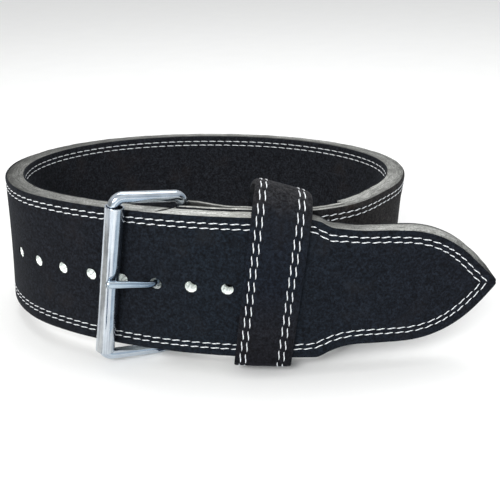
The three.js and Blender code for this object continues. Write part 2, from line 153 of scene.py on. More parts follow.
class BELT_PG_strap(bpy.types.PropertyGroup):
    """Sizes of the strap, its holes and its folded end."""

    width: length_property("Width", "Height of the strap as it stands", 101.6)
    core: length_property("Core", "Thickness of the leather core", 12.2)
    suede: length_property("Suede", "Thickness of a suede ply", 1.0)
    ply_gap: length_property("Ply gap", "Glue line between two plies", 0.3)
    setback: length_property("Setback", "How far the suede stays inside the core's edge", 0.05)
    loop_width: length_property("Loop width", "Outside width of the fastened loop", 320)
    loop_depth: length_property("Loop depth", "Outside depth of the fastened loop", 255)
    tip_length: length_property("Tip length", "Length of the shaped tip", 125)
    overlap_gap: length_property("Overlap gap", "Space between the tongue and the strap behind", 1.4)
    hole_count: IntProperty(name="Holes", description="Number of holes", default=8, min=3)
    hole: length_property("Hole", "Diameter of a hole", 8.4)
    hole_pitch: length_property("Hole pitch", "Distance between two holes", 25)
    first_hole: length_property("First hole", "Distance of the first hole from the tip", 187)
    fastened_hole: IntProperty(name="Fastened hole", description="Hole with the prong in it", default=2)
    fold_leather: length_property("Fold leather", "Thickness of the skived leather in the fold", 3.6)
    step: length_property("Step", "From the keeper to the step where the strap gets thin", 42)
    fold_taper: length_property("Fold taper", "Length over which the fold opens round the bar", 40)
    prong_slot: length_property("Prong slot", "Height of the slot for the prong in the fold", 12)
    waist: length_property("Waist", "How much each edge is cut back where the fold bends", 5)
    shoulder: length_property("Shoulder", "How far the upper edge has drooped where the tip begins", 3.4)


class BELT_PG_buckle(bpy.types.PropertyGroup):
    """Sizes of the roller buckle."""

    wire: length_property("Wire", "Diameter of the frame's wire", 8)
    depth: length_property("Depth", "Distance between the two bars", 48.5)
    clearance: length_property("Clearance", "Room between the strap's edge and the frame", 5.2)
    corner: length_property("Corner", "Radius of the frame's corners", 6.6)
    roller: length_property("Roller", "Diameter of the roller", 13.2)
    roller_wall: length_property("Roller wall", "Wall of the roller's tube", 1.2)
    roller_past: length_property("Roller past", "How far the roller covers a bend", 1.4)
    roller_drop: length_property("Roller drop", "How far the loose roller has slid down", 0.8)
    prong: length_property("Prong", "Thickness of the prong", 4.8)
    prong_height: length_property("Prong height", "Height of the prong's section", 5.6)
    eye: length_property("Eye", "Thickness of the prong's eye", 3.6)
    bar_before_hole: length_property("Bar before hole", "From the rear bar to the fastened hole", 5)
    prong_past: length_property("Prong past", "How far the prong reaches over the roller", 3)
    prong_rise: length_property("Prong rise", "How high the prong lies in its hole", 0.9)
    prong_sag: length_property("Prong sag", "How far the prong's end hangs down", 2)
    gap: length_property("Running gap", "Clearance between pieces that touch", 0.3)
    lean: angle_property("Lean", "Lean of the bars", 8)


class BELT_PG_keeper(bpy.types.PropertyGroup):
    """Sizes of the keeper."""

    width: length_property("Width", "Width of the keeper along the strap", 39)
    wall: length_property("Wall", "Thickness of the keeper's wall", 2.8)
    from_tip: length_property("From tip", "Distance of the keeper from the tip", 157)
    rise: length_property("Rise", "Height of the crest above the strap", 16)
    slope: length_property("Slope", "Fall of the crest across the keeper", 10)
    drop: length_property("Drop", "Depth of the keeper below the strap", 4.2)
    corner: length_property("Corner", "Radius of the lower corners", 2.2)
    gap: length_property("Gap", "Room between the keeper and the strap", 0.4)
    curl: length_property("Curl", "How far the crest's corners curl down", 2.0)
    rows_aside: length_property("Rows aside", "How far the rows are sewn off the middle, to the buckle", 1.0)
    twist: length_property("Twist", "How far the keeper's back is turned towards the buckle", 4)
    lean: angle_property("Lean", "Lean of the keeper", 6)


class BELT_PG_sewing(bpy.types.PropertyGroup):
    """Sizes of the lockstitch."""

    first_row: length_property("First row", "Distance of the first row from the edge", 4.7)
    row_gap: length_property("Row gap", "Distance between the two rows inside and on the keeper", 3.6)
    outer_gap: length_property("Outer gap", "Distance between the two rows outside", 3.5)
    pitch: length_property("Pitch", "Distance from one stitch to the next outside", 7.2)
    stitch: length_property("Stitch", "Visible length of one stitch outside", 6.2)
    inner_pitch: length_property("Inner pitch", "Distance between the stitches inside", 8.2)
    keeper_pitch: length_property("Keeper pitch", "Distance between the keeper's stitches", 9.1)
    thread: length_property("Thread", "Width of the thread as it lies", 0.75)
    groove: length_property("Groove", "Depth that a row pulls into the suede", 0.35)
    slant: angle_property("Slant", "Slant of a stitch outside", 4)
    inner_slant: angle_property("Inner slant", "Slant of a stitch inside", 1)
    keeper_slant: angle_property("Keeper slant", "Slant of a stitch on the keeper", 6)


class BELT_PG_colours(bpy.types.PropertyGroup):
    """Colours of the finishes, as sRGB hex values."""

    suede: colour_property("Suede", "Dyed suede", "#090A0D")
    suede_worn: colour_property("Worn suede", "Suede where the nap catches light", "#1E2227")
    suede_brown: colour_property("Rubbed suede", "Suede where the dye has rubbed", "#242120")
    edge: colour_property("Edge", "Cut edge of undyed leather", "#D4D5D1")
    edge_dark: colour_property("Edge smudge", "Dye and dirt in the cut edge", "#6F716C")
    thread: colour_property("Thread", "Bonded polyester thread", "#EEF1F4")
    steel: colour_property("Steel", "Bright zinc plate", "#CBD2DA")
    floor: colour_property("Floor", "Painted studio floor", "#F6F6F5")


# Meshes


def belt_to_ground():
    """The belt's own frame, as it comes to rest on the ground."""
    turn = Euler([math.radians(angle) for angle in REST_TURN], "XYZ")
    return Matrix.Translation(REST_SHIFT) @ turn.to_matrix().to_4x4()


def grounded(points):
    """Points of the belt's own frame, turned and set down on the ground."""
    matrix = np.array(belt_to_ground())
    flat = points.reshape(-1, 3)
    return (flat @ matrix[:3, :3].T + matrix[:3, 3]).reshape(points.shape)


def grid_faces(rows, columns, close_rows, close_columns):
    """Quads between neighbouring points of a grid, and their corners' places in a wider UV grid."""
    i, j = np.meshgrid(
        np.arange(rows if close_rows else rows - 1),
        np.arange(columns if close_columns else columns - 1),
        indexing="ij",
    )
    i, j = i.ravel(), j.ravel()
    corners = ((i, j), (i + 1, j), (i + 1, j + 1), (i, j + 1))
    faces = np.stack([(a % rows) * columns + b % columns for a, b in corners], axis=1)
    return faces, corners


def mesh_object(name, points, faces, uvs, material):
    """An object from points on the ground, faces and one UV for each face corner."""
    mesh = bpy.data.meshes.new(name)
    mesh.from_pydata(points.reshape(-1, 3).tolist(), [], faces)
    layer = mesh.uv_layers.new(name="UVMap")
    layer.data.foreach_set("uv", np.asarray(uvs, dtype=np.float32).ravel())
    mesh.materials.append(material)
    thing = bpy.data.objects.new(name, mesh)
    bpy.context.scene.collection.objects.link(thing)
    return thing


def finish_mesh(thing, sharp_degrees=40, merge=1e-6):
    """Welds doubles, points the faces outwards and shades them smooth but for sharp edges."""
    work = bmesh.new()
    work.from_mesh(thing.data)
    bmesh.ops.remove_doubles(work, verts=work.verts, dist=merge)
    bmesh.ops.dissolve_degenerate(work, edges=work.edges, dist=merge / 10)
    bmesh.ops.recalc_face_normals(work, faces=work.faces)
    work.to_mesh(thing.data)
    work.free()
    thing.data.shade_smooth()
    thing.data.set_sharp_from_angle(angle=math.radians(sharp_degrees))
    return thing


def loft(name, points, uv, material, close_rows=False, close_columns=True, caps=True):
    """A surface through a grid of points, with its open ends capped."""
    rows, columns = points.shape[:2]
    faces, corners = grid_faces(rows, columns, close_rows, close_columns)
    uvs = np.stack([uv[a, b] for a, b in corners], axis=1).reshape(-1, 2)
    listed = faces.tolist()
    if caps and not close_rows:
        for row in (0, rows - 1):
            listed.append([row * columns + k for k in range(columns)])
            uvs = np.concatenate([uvs, uv[row, :columns]])
    return mesh_object(name, grounded(points), listed, uvs, material)


def combine(thing, tools, operation):
    """Cuts tools out of a mesh, or joins them to it, and deletes the tools."""
    for tool in tools:
        step = thing.modifiers.new(tool.name, "BOOLEAN")
        step.operation = operation
        step.solver = "EXACT"
        step.object = tool
    graph = bpy.context.evaluated_depsgraph_get()
    cut = bpy.data.meshes.new_from_object(thing.evaluated_get(graph))
    thing.modifiers.clear()
    thing.data = cut
    for tool in tools:
        bpy.data.objects.remove(tool)
    return thing


def settle(thing, body, slot, *nodes):
    """Fixes a finished piece to its body, and hides the parts that it stands for."""
    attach(thing, body)
    if nodes:
        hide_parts(*nodes)
    return thing


# Lines


def spline(points, steps, power=0.5):
    """Points on a Catmull-Rom line: centripetal at power 0.5, uniform at 0."""
    points = np.asarray(points, dtype=float)
    ends = 2 * points[0] - points[1], 2 * points[-1] - points[-2]
    line = np.vstack([ends[0], points, ends[1]])
    share = np.linspace(0, 1, steps, endpoint=False)[:, None]
    pieces = []
    for k in range(len(points) - 1):
        a, b, c, d = line[k : k + 4]
        before, here, after = (np.linalg.norm(q - p) ** power for p, q in ((a, b), (b, c), (c, d)))
        start = here * ((b - a) / before - (c - a) / (before + here) + (c - b) / here)
        end = here * ((c - b) / here - (d - b) / (here + after) + (d - c) / after)
        cubic = 2 * b - 2 * c + start + end
        square = 3 * (c - b) - 2 * start - end
        pieces.append(b + start * share + square * share**2 + cubic * share**3)
    return np.vstack([*pieces, points[-1]])


class Line:
    """A smooth line through points, measured along its length."""

    def __init__(self, points, steps=60):
        self.points = spline(points, steps)
        self.run = np.concatenate([[0], np.cumsum(np.linalg.norm(np.diff(self.points, axis=0), axis=1))])
        self.length = self.run[-1]
        slope = np.gradient(self.points, self.run, axis=0)
        self.slope = slope / np.linalg.norm(slope, axis=1)[:, None]

    def _read(self, table, distance):
        columns = [np.interp(distance, self.run, table[:, k]) for k in range(table.shape[1])]
        return np.stack(columns, axis=-1)

    def tangent(self, distance):
        return self._read(self.slope, distance)

    def point(self, distance):
        return self._read(self.points, distance)

    def inward(self, distance):
        """To the right of the way of travel in plan, which is into the strap."""
        tangent = self.tangent(distance)
        return np.stack([tangent[..., 1], -tangent[..., 0]], axis=-1)

    def at(self, distance, depth=0.0, height=0.0):
        distance, depth, height = np.broadcast_arrays(distance, depth, height)
        plan = self.point(distance) + self.inward(distance) * depth[..., None]
        return np.concatenate([plan, height[..., None]], axis=-1)


class Ribbon:
    """A face that runs along the strap, with a line of its own at the lower and upper edge."""

    def __init__(self, travel, low, high, width, worn, flare):
        self.travel, self.worn, self.flare = travel, worn, flare
        self.low, self.high, self.width = low, high, width

    def place(self, travel, height, depth):
        """The point at a travel along the face, a height, and a depth behind the face."""
        travel, height, depth = np.broadcast_arrays(travel, height, depth)
        travel, height = self.worn(travel, height)
        depth = depth + self.flare(travel, height)
        share = (height / self.width)[..., None]
        face, into = (
            (1 - share) * self._read(self.low[k], travel) + share * self._read(self.high[k], travel)
            for k in (0, 1)
        )
        plan = face + into * depth[..., None]
        return np.concatenate([plan, height[..., None]], axis=-1)

    def _read(self, table, travel):
        return np.stack([np.interp(travel, self.travel, table[:, k]) for k in (0, 1)], axis=-1)


def smooth_share(value):
    """Zero below 0, one above 1, and a smooth rise between."""
    value = np.clip(value, 0, 1)
    return value * value * (3 - 2 * value)


class Pattern:
    """The belt's lines and places in its own frame, worked out from its sizes."""

    station = 1.6 * MM
    tip_stations = 110

    def __init__(self, scene):
        self.strap, self.buckle, self.keeper = scene.belt_strap, scene.belt_buckle, scene.belt_keeper
        self.sewing = scene.belt_sewing
        strap, buckle, keeper = self.strap, self.buckle, self.keeper
        self.middle = strap.width / 2
        self.thickness = strap.core + 2 * (strap.suede + strap.ply_gap)
        self.fold_ply = strap.suede + strap.ply_gap + strap.fold_leather
        self.fold_flat = 2 * self.fold_ply + strap.ply_gap
        self.bend = self.fold_ply + buckle.gap + buckle.wire / 2
        self.fastened = strap.first_hole + strap.fastened_hole * strap.hole_pitch
        self.bar = self.fastened - buckle.bar_before_hole
        self.behind = self.thickness + strap.overlap_gap
        self.line = self._strap_line()
        self.tip = spline(TIP, 40, power=0) * (strap.tip_length, self.middle)
        self.step = self._behind_tongue(keeper.from_tip - keeper.width / 2 - strap.step)
        self.bar_station = self._behind_tongue(self.bar)
        self.fold_length = 2 * (self.bar_station - self.step) + math.pi * self.bend
        lean = -self.line.tangent(self.bar + buckle.depth / 2)
        self.along_lean = np.append(lean, 0.0)
        self.up = np.append(lean * math.sin(buckle.lean), math.cos(buckle.lean))

    def _strap_line(self):
        strap, keeper = self.strap, self.keeper
        loop = np.array(LOOP) * (strap.loop_width, strap.loop_depth)
        front = Line(loop)
        start = keeper.from_tip - keeper.width / 2 - self.middle * math.tan(keeper.lean) - keeper.rise / 4
        overlap = start + np.array(OVERLAP_SHARES) * (self.bar + self.bend - start)
        return Line(np.vstack([loop, front.at(overlap, self.behind)[:, :2]]))

    def _behind_tongue(self, distance):
        """The distance along the second turn that lies behind a distance on the tongue."""
        target = self.line.at(distance, self.behind)[:2]
        low, high = 0.75 * self.line.length, self.line.length
        for _ in range(40):
            middle = (low + high) / 2
            if (target - self.line.point(middle)) @ self.line.tangent(middle) > 0:
                low = middle
            else:
                high = middle
        return low

    def drift(self, distance):
        """How far a leaning bar leaves the curved strap over half the strap's width."""
        across = np.append(self.line.inward(distance), 0.0)
        return abs(across @ self.along_lean) * math.tan(self.buckle.lean) * self.middle

    def rear_bar(self, height):
        middle = self.line.at(self.bar_station, self.bend + self.drift(self.bar_station), self.middle)
        return middle + self.up * (height - self.middle) / self.up[2]

    def _fold_line(self, height, stations=90, bend_stations=40):
        """The suede face of the fold at one height: out to the bar, round it and back."""
        line, strap = self.line, self.strap
        bar = self.bar_station - (height - self.middle) * math.tan(self.buckle.lean)
        normal, forward = line.inward(bar), line.tangent(bar)
        centre = self.rear_bar(height)[:2]
        stand = (centre - line.point(bar)) @ normal - self.bend
        legs = np.linspace(self.step + strap.ply_gap, bar, stations, endpoint=False)
        near = 1 - smooth_share((bar - legs) / strap.fold_taper)
        out = line.at(legs, stand * near)[:, :2]
        angle = np.linspace(0, math.pi, bend_stations)[:, None]
        round_bar = -np.cos(angle) * normal + np.sin(angle) * forward
        back = legs[::-1]
        near = near[::-1]
        depth = self.fold_flat * (1 - near) + (2 * self.bend + stand) * near
        face = np.vstack([out, centre + self.bend * round_bar, line.at(back, depth)[:, :2]])
        into = np.vstack([line.inward(legs), -round_bar, -line.inward(back)])
        return face, into

    def flat_ribbon(self):
        travel = np.arange(0, self.step, self.station)
        travel = np.append(travel, self.step)
        line = (self.line.point(travel), self.line.inward(travel))
        return Ribbon(travel, line, line, self.strap.width, self.worn, self.flare)

    def fold_ribbon(self):
        low, high = self._fold_line(0.0), self._fold_line(self.strap.width)
        steps = (np.linalg.norm(np.diff(side[0], axis=0), axis=1) for side in (low, high))
        travel = self.step + np.concatenate([[0], np.cumsum(sum(steps) / 2)])
        return Ribbon(travel, low, high, self.strap.width, self.worn, self.flare)

    def outer_ribbon(self):
        """The outer suede's face: the whole strap, then the fold."""
        flat, fold = self.flat_ribbon(), self.fold_ribbon()
        keep = flat.travel < self.step - self.station / 2
        joined = [
            tuple(np.vstack([a[k][keep], b[k]]) for k in (0, 1))
            for a, b in ((flat.low, fold.low), (flat.high, fold.high))
        ]
        travel = np.concatenate([flat.travel[keep], fold.travel])
        return Ribbon(travel, *joined, self.strap.width, self.trimmed, self.flare)

    def worn(self, travel, height):
        """Where wear and cutting have moved a place: the shoulder droops, and the bend has a waist."""
        strap = self.strap
        share = smooth_share(0.5 + (height - self.middle) / (20 * MM))
        droop = strap.shoulder * np.exp(-(((travel - 0.97 * strap.tip_length) / (9 * MM)) ** 2))
        blunt = 1.2 * MM * np.exp(-((travel / (9 * MM)) ** 2))
        from_bend = np.abs(travel - self.step - self.fold_length / 2)
        waist = 1 - strap.waist / self.middle * smooth_share(2.5 - from_bend / (6 * MM))
        return travel + blunt, self.middle + (height - self.middle) * waist - droop * share

    def trimmed(self, travel, height):
        """The same for the outer suede, which is trimmed short and sewn further in than it was drawn."""
        over = height - self.middle
        half = np.interp(travel, *self.tip.T)
        slope = np.interp(travel, self.tip[:, 0], np.gradient(self.tip[:, 1], self.tip[:, 0]), right=0.0)
        cosine = 1 / np.sqrt(1 + slope**2)
        inside = (half - np.abs(over)) * cosine
        trim, rows = (np.interp(travel, *(np.array(table).T * MM)) for table in (TRIM, LOW_ROWS))
        trim = trim * (1 - smooth_share((inside - 8 * MM) / (12 * MM)))
        rows = rows * smooth_share(inside / (4.5 * MM)) * (1 - smooth_share((inside - 12 * MM) / (14 * MM)))
        upper = smooth_share(0.5 + over / (8 * MM))
        shift = upper * trim + (1 - upper) * rows
        pointed = smooth_share((45 * MM - travel) / (25 * MM))
        travel = travel + pointed * shift / np.maximum(slope * cosine, 0.3)
        height = height - np.sign(over) * (1 - pointed) * shift / cosine
        return self.worn(travel, height)

    def flare(self, travel, height):
        """How far the standing strap's wall leaves the plumb, inwards: out at the left foot, in at the right."""
        below = np.clip(1 - height / self.strap.width, 0, 1)
        left = np.exp(-(((travel - 415 * MM) / (45 * MM)) ** 2)) * (0.3 - 3.6 * below**2)
        right = np.exp(-(((travel - 880 * MM) / (75 * MM)) ** 2)) * 3.5 * smooth_share(below / 0.4)
        return MM * (left + right)

    def edge_line(self, inset, end, past=15 * MM):
        """A line at a distance inside the cut edge, as (travel, height above the middle)."""
        strap = self.strap
        tip = np.vstack([[0, 0], self.tip, [strap.tip_length + 2 * past, self.middle]])
        run = np.concatenate([[0], np.cumsum(np.linalg.norm(np.diff(tip, axis=0), axis=1))])
        fine = np.linspace(0, run[-1], 900)
        outline = np.stack([np.interp(fine, run, tip[:, k]) for k in (0, 1)], axis=1)
        slope = np.gradient(outline, axis=0)
        slope /= np.linalg.norm(slope, axis=1)[:, None]
        moved = outline + inset * np.stack([slope[:, 1], -slope[:, 0]], axis=1)
        apart = np.linalg.norm(moved[:, None] - outline[None], axis=2).min(axis=1)
        moved = moved[apart > 0.985 * inset - 0.01 * MM]
        below = np.nonzero(moved[:, 1] < 0)[0]
        first = below[-1] + 1 if len(below) else 0
        moved = moved[first:]
        if moved[0, 1] > 0:
            nose = moved[0, 0] - moved[0, 1] * (moved[1, 0] - moved[0, 0]) / (moved[1, 1] - moved[0, 1] + 1e-9)
            nose = max(nose, inset)
            moved = np.vstack([[nose, 0], moved])
        keep = moved[:, 0] < strap.tip_length + past
        moved = np.vstack([moved[keep], [strap.tip_length + past, self.middle - inset]])
        run = np.concatenate([[0], np.cumsum(np.linalg.norm(np.diff(moved, axis=0), axis=1))])
        even = np.linspace(0, run[-1], self.tip_stations)
        shaped = np.stack([np.interp(even, run, moved[:, k]) for k in (0, 1)], axis=1)
        shaped = self._eased(shaped, inset)
        count = int((end - strap.tip_length - past) / self.station)
        travel = np.linspace(strap.tip_length + past, end, count)[1:]
        straight = np.stack([travel, np.full_like(travel, self.middle - inset)], axis=1)
        return np.vstack([shaped, straight])


    def _eased(self, line, inset, reach=9):
        """The line with its turn into the straight drawn as a curve, the more so further in."""
        weight = np.exp(-((np.arange(-reach, reach + 1) / (0.5 * reach)) ** 2))
        padded = np.pad(line, ((reach, reach), (0, 0)), mode="edge")
        even = np.stack([np.convolve(padded[:, k], weight / weight.sum(), "valid") for k in (0, 1)], axis=1)
        share = smooth_share((line[:, 0] - 0.6 * self.strap.tip_length) / (0.16 * self.strap.tip_length))
        share = share * smooth_share(inset / (3 * MM)) * smooth_share((len(line) - np.arange(len(line))) / reach - 0.2)
        return line + share[:, None] * (even - line)


# Materials


def colour(code):
    """An sRGB hex value as linear RGBA."""
    parts = [int(code[i : i + 2], 16) / 255 for i in (1, 3, 5)]
    linear = [c / 12.92 if c <= 0.04045 else ((c + 0.055) / 1.055) ** 2.4 for c in parts]
    return (*linear, 1.0)


def add_node(tree, kind, settings=None, **inputs):
    """Adds a node, sets its options, and fills or links its inputs by name or place."""
    node = tree.nodes.new(kind)
    for key, value in (settings or {}).items():
        setattr(node, key, value)
    for key, value in inputs.items():
        name = key.replace("_", " ")
        socket = node.inputs[int(key[1:])] if key[1:].isdigit() else node.inputs[name]
        if isinstance(value, bpy.types.NodeSocket):
            tree.links.new(value, socket)
        else:
            socket.default_value = value
    return node


def new_material(name):
    """A material with an empty tree but for its output and shader."""
    material = bpy.data.materials.new(name)
    material.use_nodes = True
    tree = material.node_tree
    tree.nodes.clear()
    shader = add_node(tree, "ShaderNodeBsdfPrincipled")
    output = add_node(tree, "ShaderNodeOutputMaterial")
    tree.links.new(shader.outputs["BSDF"], output.inputs["Surface"])
    return material, tree, shader


def ramp(tree, factor, stops):
    """A colour ramp with stops of (place, linear colour)."""
    node = add_node(tree, "ShaderNodeValToRGB", i0=factor)
    elements = node.color_ramp.elements
    while len(elements) < len(stops):
        elements.new(0.5)
    for element, (place, value) in zip(elements, stops):
        element.position = place
        element.color = value
    return node.outputs["Color"]


def noise_at(tree, vector, size, detail=3.0, roughness=0.55):
    """Noise whose lumps are about a size in metres."""
    node = add_node(
        tree, "ShaderNodeTexNoise", i1=0.0, Vector=vector, Scale=1 / size, Detail=detail, Roughness=roughness
    )
    return node.outputs["Fac"]


def mapped(tree, source, scale):
    """Coordinates stretched by a scale for each axis."""
    return add_node(tree, "ShaderNodeMapping", Vector=source, Scale=scale).outputs["Vector"]


def bumped(tree, height, distance, strength=1.0, normal=None):
    """A bump that stands up by a distance in metres."""
    node = add_node(tree, "ShaderNodeBump", Height=height, Distance=distance, Strength=strength)
    if normal is not None:
        tree.links.new(normal, node.inputs["Normal"])
    return node.outputs["Normal"]


def mixed(tree, factor, a, b, blend="MIX"):
    """Two colours mixed by a factor."""
    node = add_node(
        tree, "ShaderNodeMix", {"data_type": "RGBA", "blend_type": blend}, i0=factor, i6=a, i7=b
    )
    return node.outputs[2]


def tinted(tree, base):
    """A colour multiplied by the piece's own painted tint, which on some pieces also holds painted light and shade."""
    tint = add_node(tree, "ShaderNodeVertexColor", {"layer_name": "tint"}).outputs["Color"]
    return mixed(tree, 1.0, base, tint, "MULTIPLY")


def suede(colours):
    """Dyed split suede, brushed: a short dull nap that clumps, lighter where it lies over."""
    material, tree, shader = new_material("dyed_suede")
    place = add_node(tree, "ShaderNodeTexCoord").outputs["Object"]
    nap = noise_at(tree, place, 1.7 * MM, detail=6.0, roughness=0.8)
    clump = noise_at(tree, place, 3.6 * MM, detail=3.0, roughness=0.6)
    patch = noise_at(tree, place, 28 * MM, detail=2.0)
    base = ramp(tree, nap, [(0.42, colour(colours.suede)), (0.59, colour(colours.suede_worn))])
    shade = ramp(tree, clump, [(0.36, (0.66, 0.68, 0.70, 1)), (0.64, (1.32, 1.29, 1.26, 1))])
    base = mixed(tree, 1.0, base, shade, "MULTIPLY")
    rubbed = ramp(tree, patch, [(0.58, (0, 0, 0, 1)), (0.76, (0.4, 0.4, 0.4, 1))])
    base = mixed(tree, rubbed, base, colour(colours.suede_brown))
    tree.links.new(tinted(tree, base), shader.inputs["Base Color"])
    normal = bumped(tree, nap, 0.3 * MM, 0.8)
    normal = bumped(tree, clump, 0.3 * MM, 0.5, normal)
    tree.links.new(normal, shader.inputs["Normal"])
    shader.inputs["Roughness"].default_value = 0.95
    shader.inputs["Specular IOR Level"].default_value = 0.15
    shader.inputs["Sheen Weight"].default_value = 0.06
    shader.inputs["Sheen Roughness"].default_value = 0.4
    shader.inputs["Sheen Tint"].default_value = colour("#9FA8B4")
    return material


def cut_edge(colours):
    """Cut edge of thick undyed leather: dull, pale, with fibres that run along the strap."""
    material, tree, shader = new_material("cut_leather_edge")
    along = add_node(tree, "ShaderNodeTexCoord").outputs["UV"]
    fibre = noise_at(tree, mapped(tree, along, (1, 7, 1)), 13 * MM, detail=6.0, roughness=0.75)
    pore = noise_at(tree, mapped(tree, along, (1, 1.5, 1)), 1.5 * MM, detail=4.0, roughness=0.7)
    smudge = noise_at(tree, mapped(tree, along, (1, 2, 1)), 22 * MM, detail=3.0)
    pale, dark = colour(colours.edge), colour(colours.edge_dark)
    base = ramp(tree, fibre, [(0.38, tuple(0.4 * c for c in pale[:3]) + (1,)), (0.58, pale)])
    specks = ramp(tree, pore, [(0.38, (0.42, 0.42, 0.4, 1)), (0.54, (1.12, 1.12, 1.12, 1))])
    base = mixed(tree, 1.0, base, specks, "MULTIPLY")
    dirt = ramp(tree, smudge, [(0.4, (0, 0, 0, 1)), (0.72, (0.6, 0.6, 0.6, 1))])
    base = mixed(tree, dirt, base, dark)
    tree.links.new(tinted(tree, base), shader.inputs["Base Color"])
    normal = bumped(tree, fibre, 0.3 * MM, 0.8)
    normal = bumped(tree, pore, 0.2 * MM, 0.8, normal)
    tree.links.new(normal, shader.inputs["Normal"])
    shader.inputs["Roughness"].default_value = 0.88
    shader.inputs["Specular IOR Level"].default_value = 0.25
    return material


def bonded_thread(colours):
    """Thick bonded polyester thread: white, a little shiny, laid in a steep twist, with painted shade in the twist's
    grooves.
    """
    material, tree, shader = new_material("bonded_thread")
    along = add_node(tree, "ShaderNodeTexCoord").outputs["UV"]
    twist = add_node(
        tree,
        "ShaderNodeTexWave",
        {"wave_type": "BANDS", "bands_direction": "DIAGONAL"},
        Vector=along,
        Scale=0.22 / MM,
        Distortion=0.4,
    ).outputs["Fac"]
    # The twist's bands darken each stitch as painted shade in its grooves
    white = colour(colours.thread)
    shade = tuple(0.6 * c for c in white[:3]) + (1,)
    tree.links.new(ramp(tree, twist, [(0.0, shade), (0.5, white)]), shader.inputs["Base Color"])
    tree.links.new(bumped(tree, twist, 0.12 * MM), shader.inputs["Normal"])
    shader.inputs["Roughness"].default_value = 0.55
    shader.inputs["Sheen Weight"].default_value = 0.1
    return material


def zinc_plate(colours):
    """Bright zinc-plated steel: a cool satin mirror, with fine drawing lines and dulled clouds."""
    material, tree, shader = new_material("zinc_plated_steel")
    place = add_node(tree, "ShaderNodeTexCoord")
    drawn = noise_at(tree, mapped(tree, place.outputs["UV"], (0.04, 1, 1)), 1.6 * MM, detail=4.0)
    cloud = noise_at(tree, place.outputs["Object"], 9 * MM, detail=4.0, roughness=0.6)
    steel = colour(colours.steel)
    dull = tuple(0.85 * c for c in steel[:3]) + (1,)
    plate = ramp(tree, cloud, [(0.32, dull), (0.6, steel)])
    lines = ramp(tree, drawn, [(0.34, (0.72, 0.75, 0.79, 1)), (0.56, (1.06, 1.06, 1.05, 1))])
    plate = mixed(tree, 1.0, plate, lines, "MULTIPLY")
    tree.links.new(tinted(tree, plate), shader.inputs["Base Color"])
    rough = ramp(tree, cloud, [(0.3, (0.13, 0.13, 0.13, 1)), (0.75, (0.21, 0.21, 0.21, 1))])
    tree.links.new(rough, shader.inputs["Roughness"])
    normal = bumped(tree, drawn, 0.03 * MM, 0.6)
    normal = bumped(tree, cloud, 0.05 * MM, 0.3, normal)
    tree.links.new(normal, shader.inputs["Normal"])
    shader.inputs["Metallic"].default_value = 1.0
    return material


def painted_floor(colours):
    """Matt white paint on a flat floor, which only takes the belt's soft shadow."""
    material, tree, shader = new_material("matt_white_paint")
    place = add_node(tree, "ShaderNodeTexCoord").outputs["Object"]
    grain = noise_at(tree, place, 60 * MM)
    white = colour(colours.floor)
    faint = tuple(0.985 * c for c in white[:3]) + (1,)
    tree.links.new(ramp(tree, grain, [(0.3, faint), (0.7, white)]), shader.inputs["Base Color"])
    shader.inputs["Roughness"].default_value = 0.9
    shader.inputs["Specular IOR Level"].default_value = 0.1
    return material


def shared_material(make, colours):
    """The material that a function makes, made once."""
    key = f"belt_{make.__name__}"
    found = bpy.data.materials.get(key)
    if found is None:
        found = make(colours)
        found.name = key
    return found


# Pieces


def outline_grid(pattern, inset, end):
    """A ply's grid over its whole face, as travel, height, and distance from the cut edge."""
    lines = [pattern.edge_line(inset + d, end) for d in EDGE_LINES]
    upper = np.stack(lines, axis=1)
    lower = upper[:, ::-1] * (1, -1)
    inner = np.linspace(1, -1, 9)[1:-1]
    field = np.stack([upper[:, -1] * (1, share) for share in inner], axis=1)
    grid = np.concatenate([upper, field, lower], axis=1)
    reach = np.array(EDGE_LINES)
    from_edge = np.concatenate([reach, np.full(len(inner), 2 * reach[-1]), reach[::-1]])
    return grid[..., 0], grid[..., 1] + pattern.middle, np.broadcast_to(from_edge, grid.shape[:2])


def sewn_relief(pattern, from_edge, gap):
    """How deep the suede lies under its flat face: rolled at the edge, pulled in by the stitches."""
    sewing = pattern.sewing
    roll = 0.55 * MM * np.clip(1 - from_edge / (1.5 * MM), 0, 1) ** 2
    rows = (sewing.first_row, sewing.first_row + gap)
    groove = sum(np.exp(-(((from_edge - row) / (0.75 * MM)) ** 2)) for row in rows)
    return roll + sewing.groove * groove


def suede_ply(name, pattern, ribbon, end, near, far, outside, material):
    """One suede ply between two depths of a ribbon, with its sewn face on the given side."""
    travel, height, from_edge = outline_grid(pattern, pattern.strap.setback, end)
    sewing = pattern.sewing
    relief = sewn_relief(pattern, from_edge, sewing.outer_gap if outside else sewing.row_gap)
    face = near + relief if outside else far - relief
    back = far if outside else near
    top = ribbon.place(travel, height, face)
    corners = ribbon.place(travel[:, [-1, 0]], height[:, [-1, 0]], back)
    points = np.concatenate([top, corners], axis=1)
    uv_travel = np.concatenate([travel, travel[:, [-1, 0, 0]]], axis=1)
    uv_height = np.concatenate([height, height[:, [-1, 0, 0]]], axis=1)
    return loft(name, points, np.stack([uv_travel, uv_height], axis=-1), material)


def edge_section(thickness, radius, steps=5, crown=7):
    """One cut edge across a ply, as (share of thickness, how far it stays inside the edge)."""
    turn = np.linspace(0, math.pi / 2, steps)
    lead = np.stack([radius * (1 - np.cos(turn)), radius * (1 - np.sin(turn))], axis=1)
    span = np.linspace(radius, thickness - radius, crown)[1:-1]
    flat = np.stack([span, np.zeros_like(span)], axis=1)
    trail = lead[::-1] * (-1, 1) + (thickness, 0)
    return np.concatenate([lead, flat, trail])


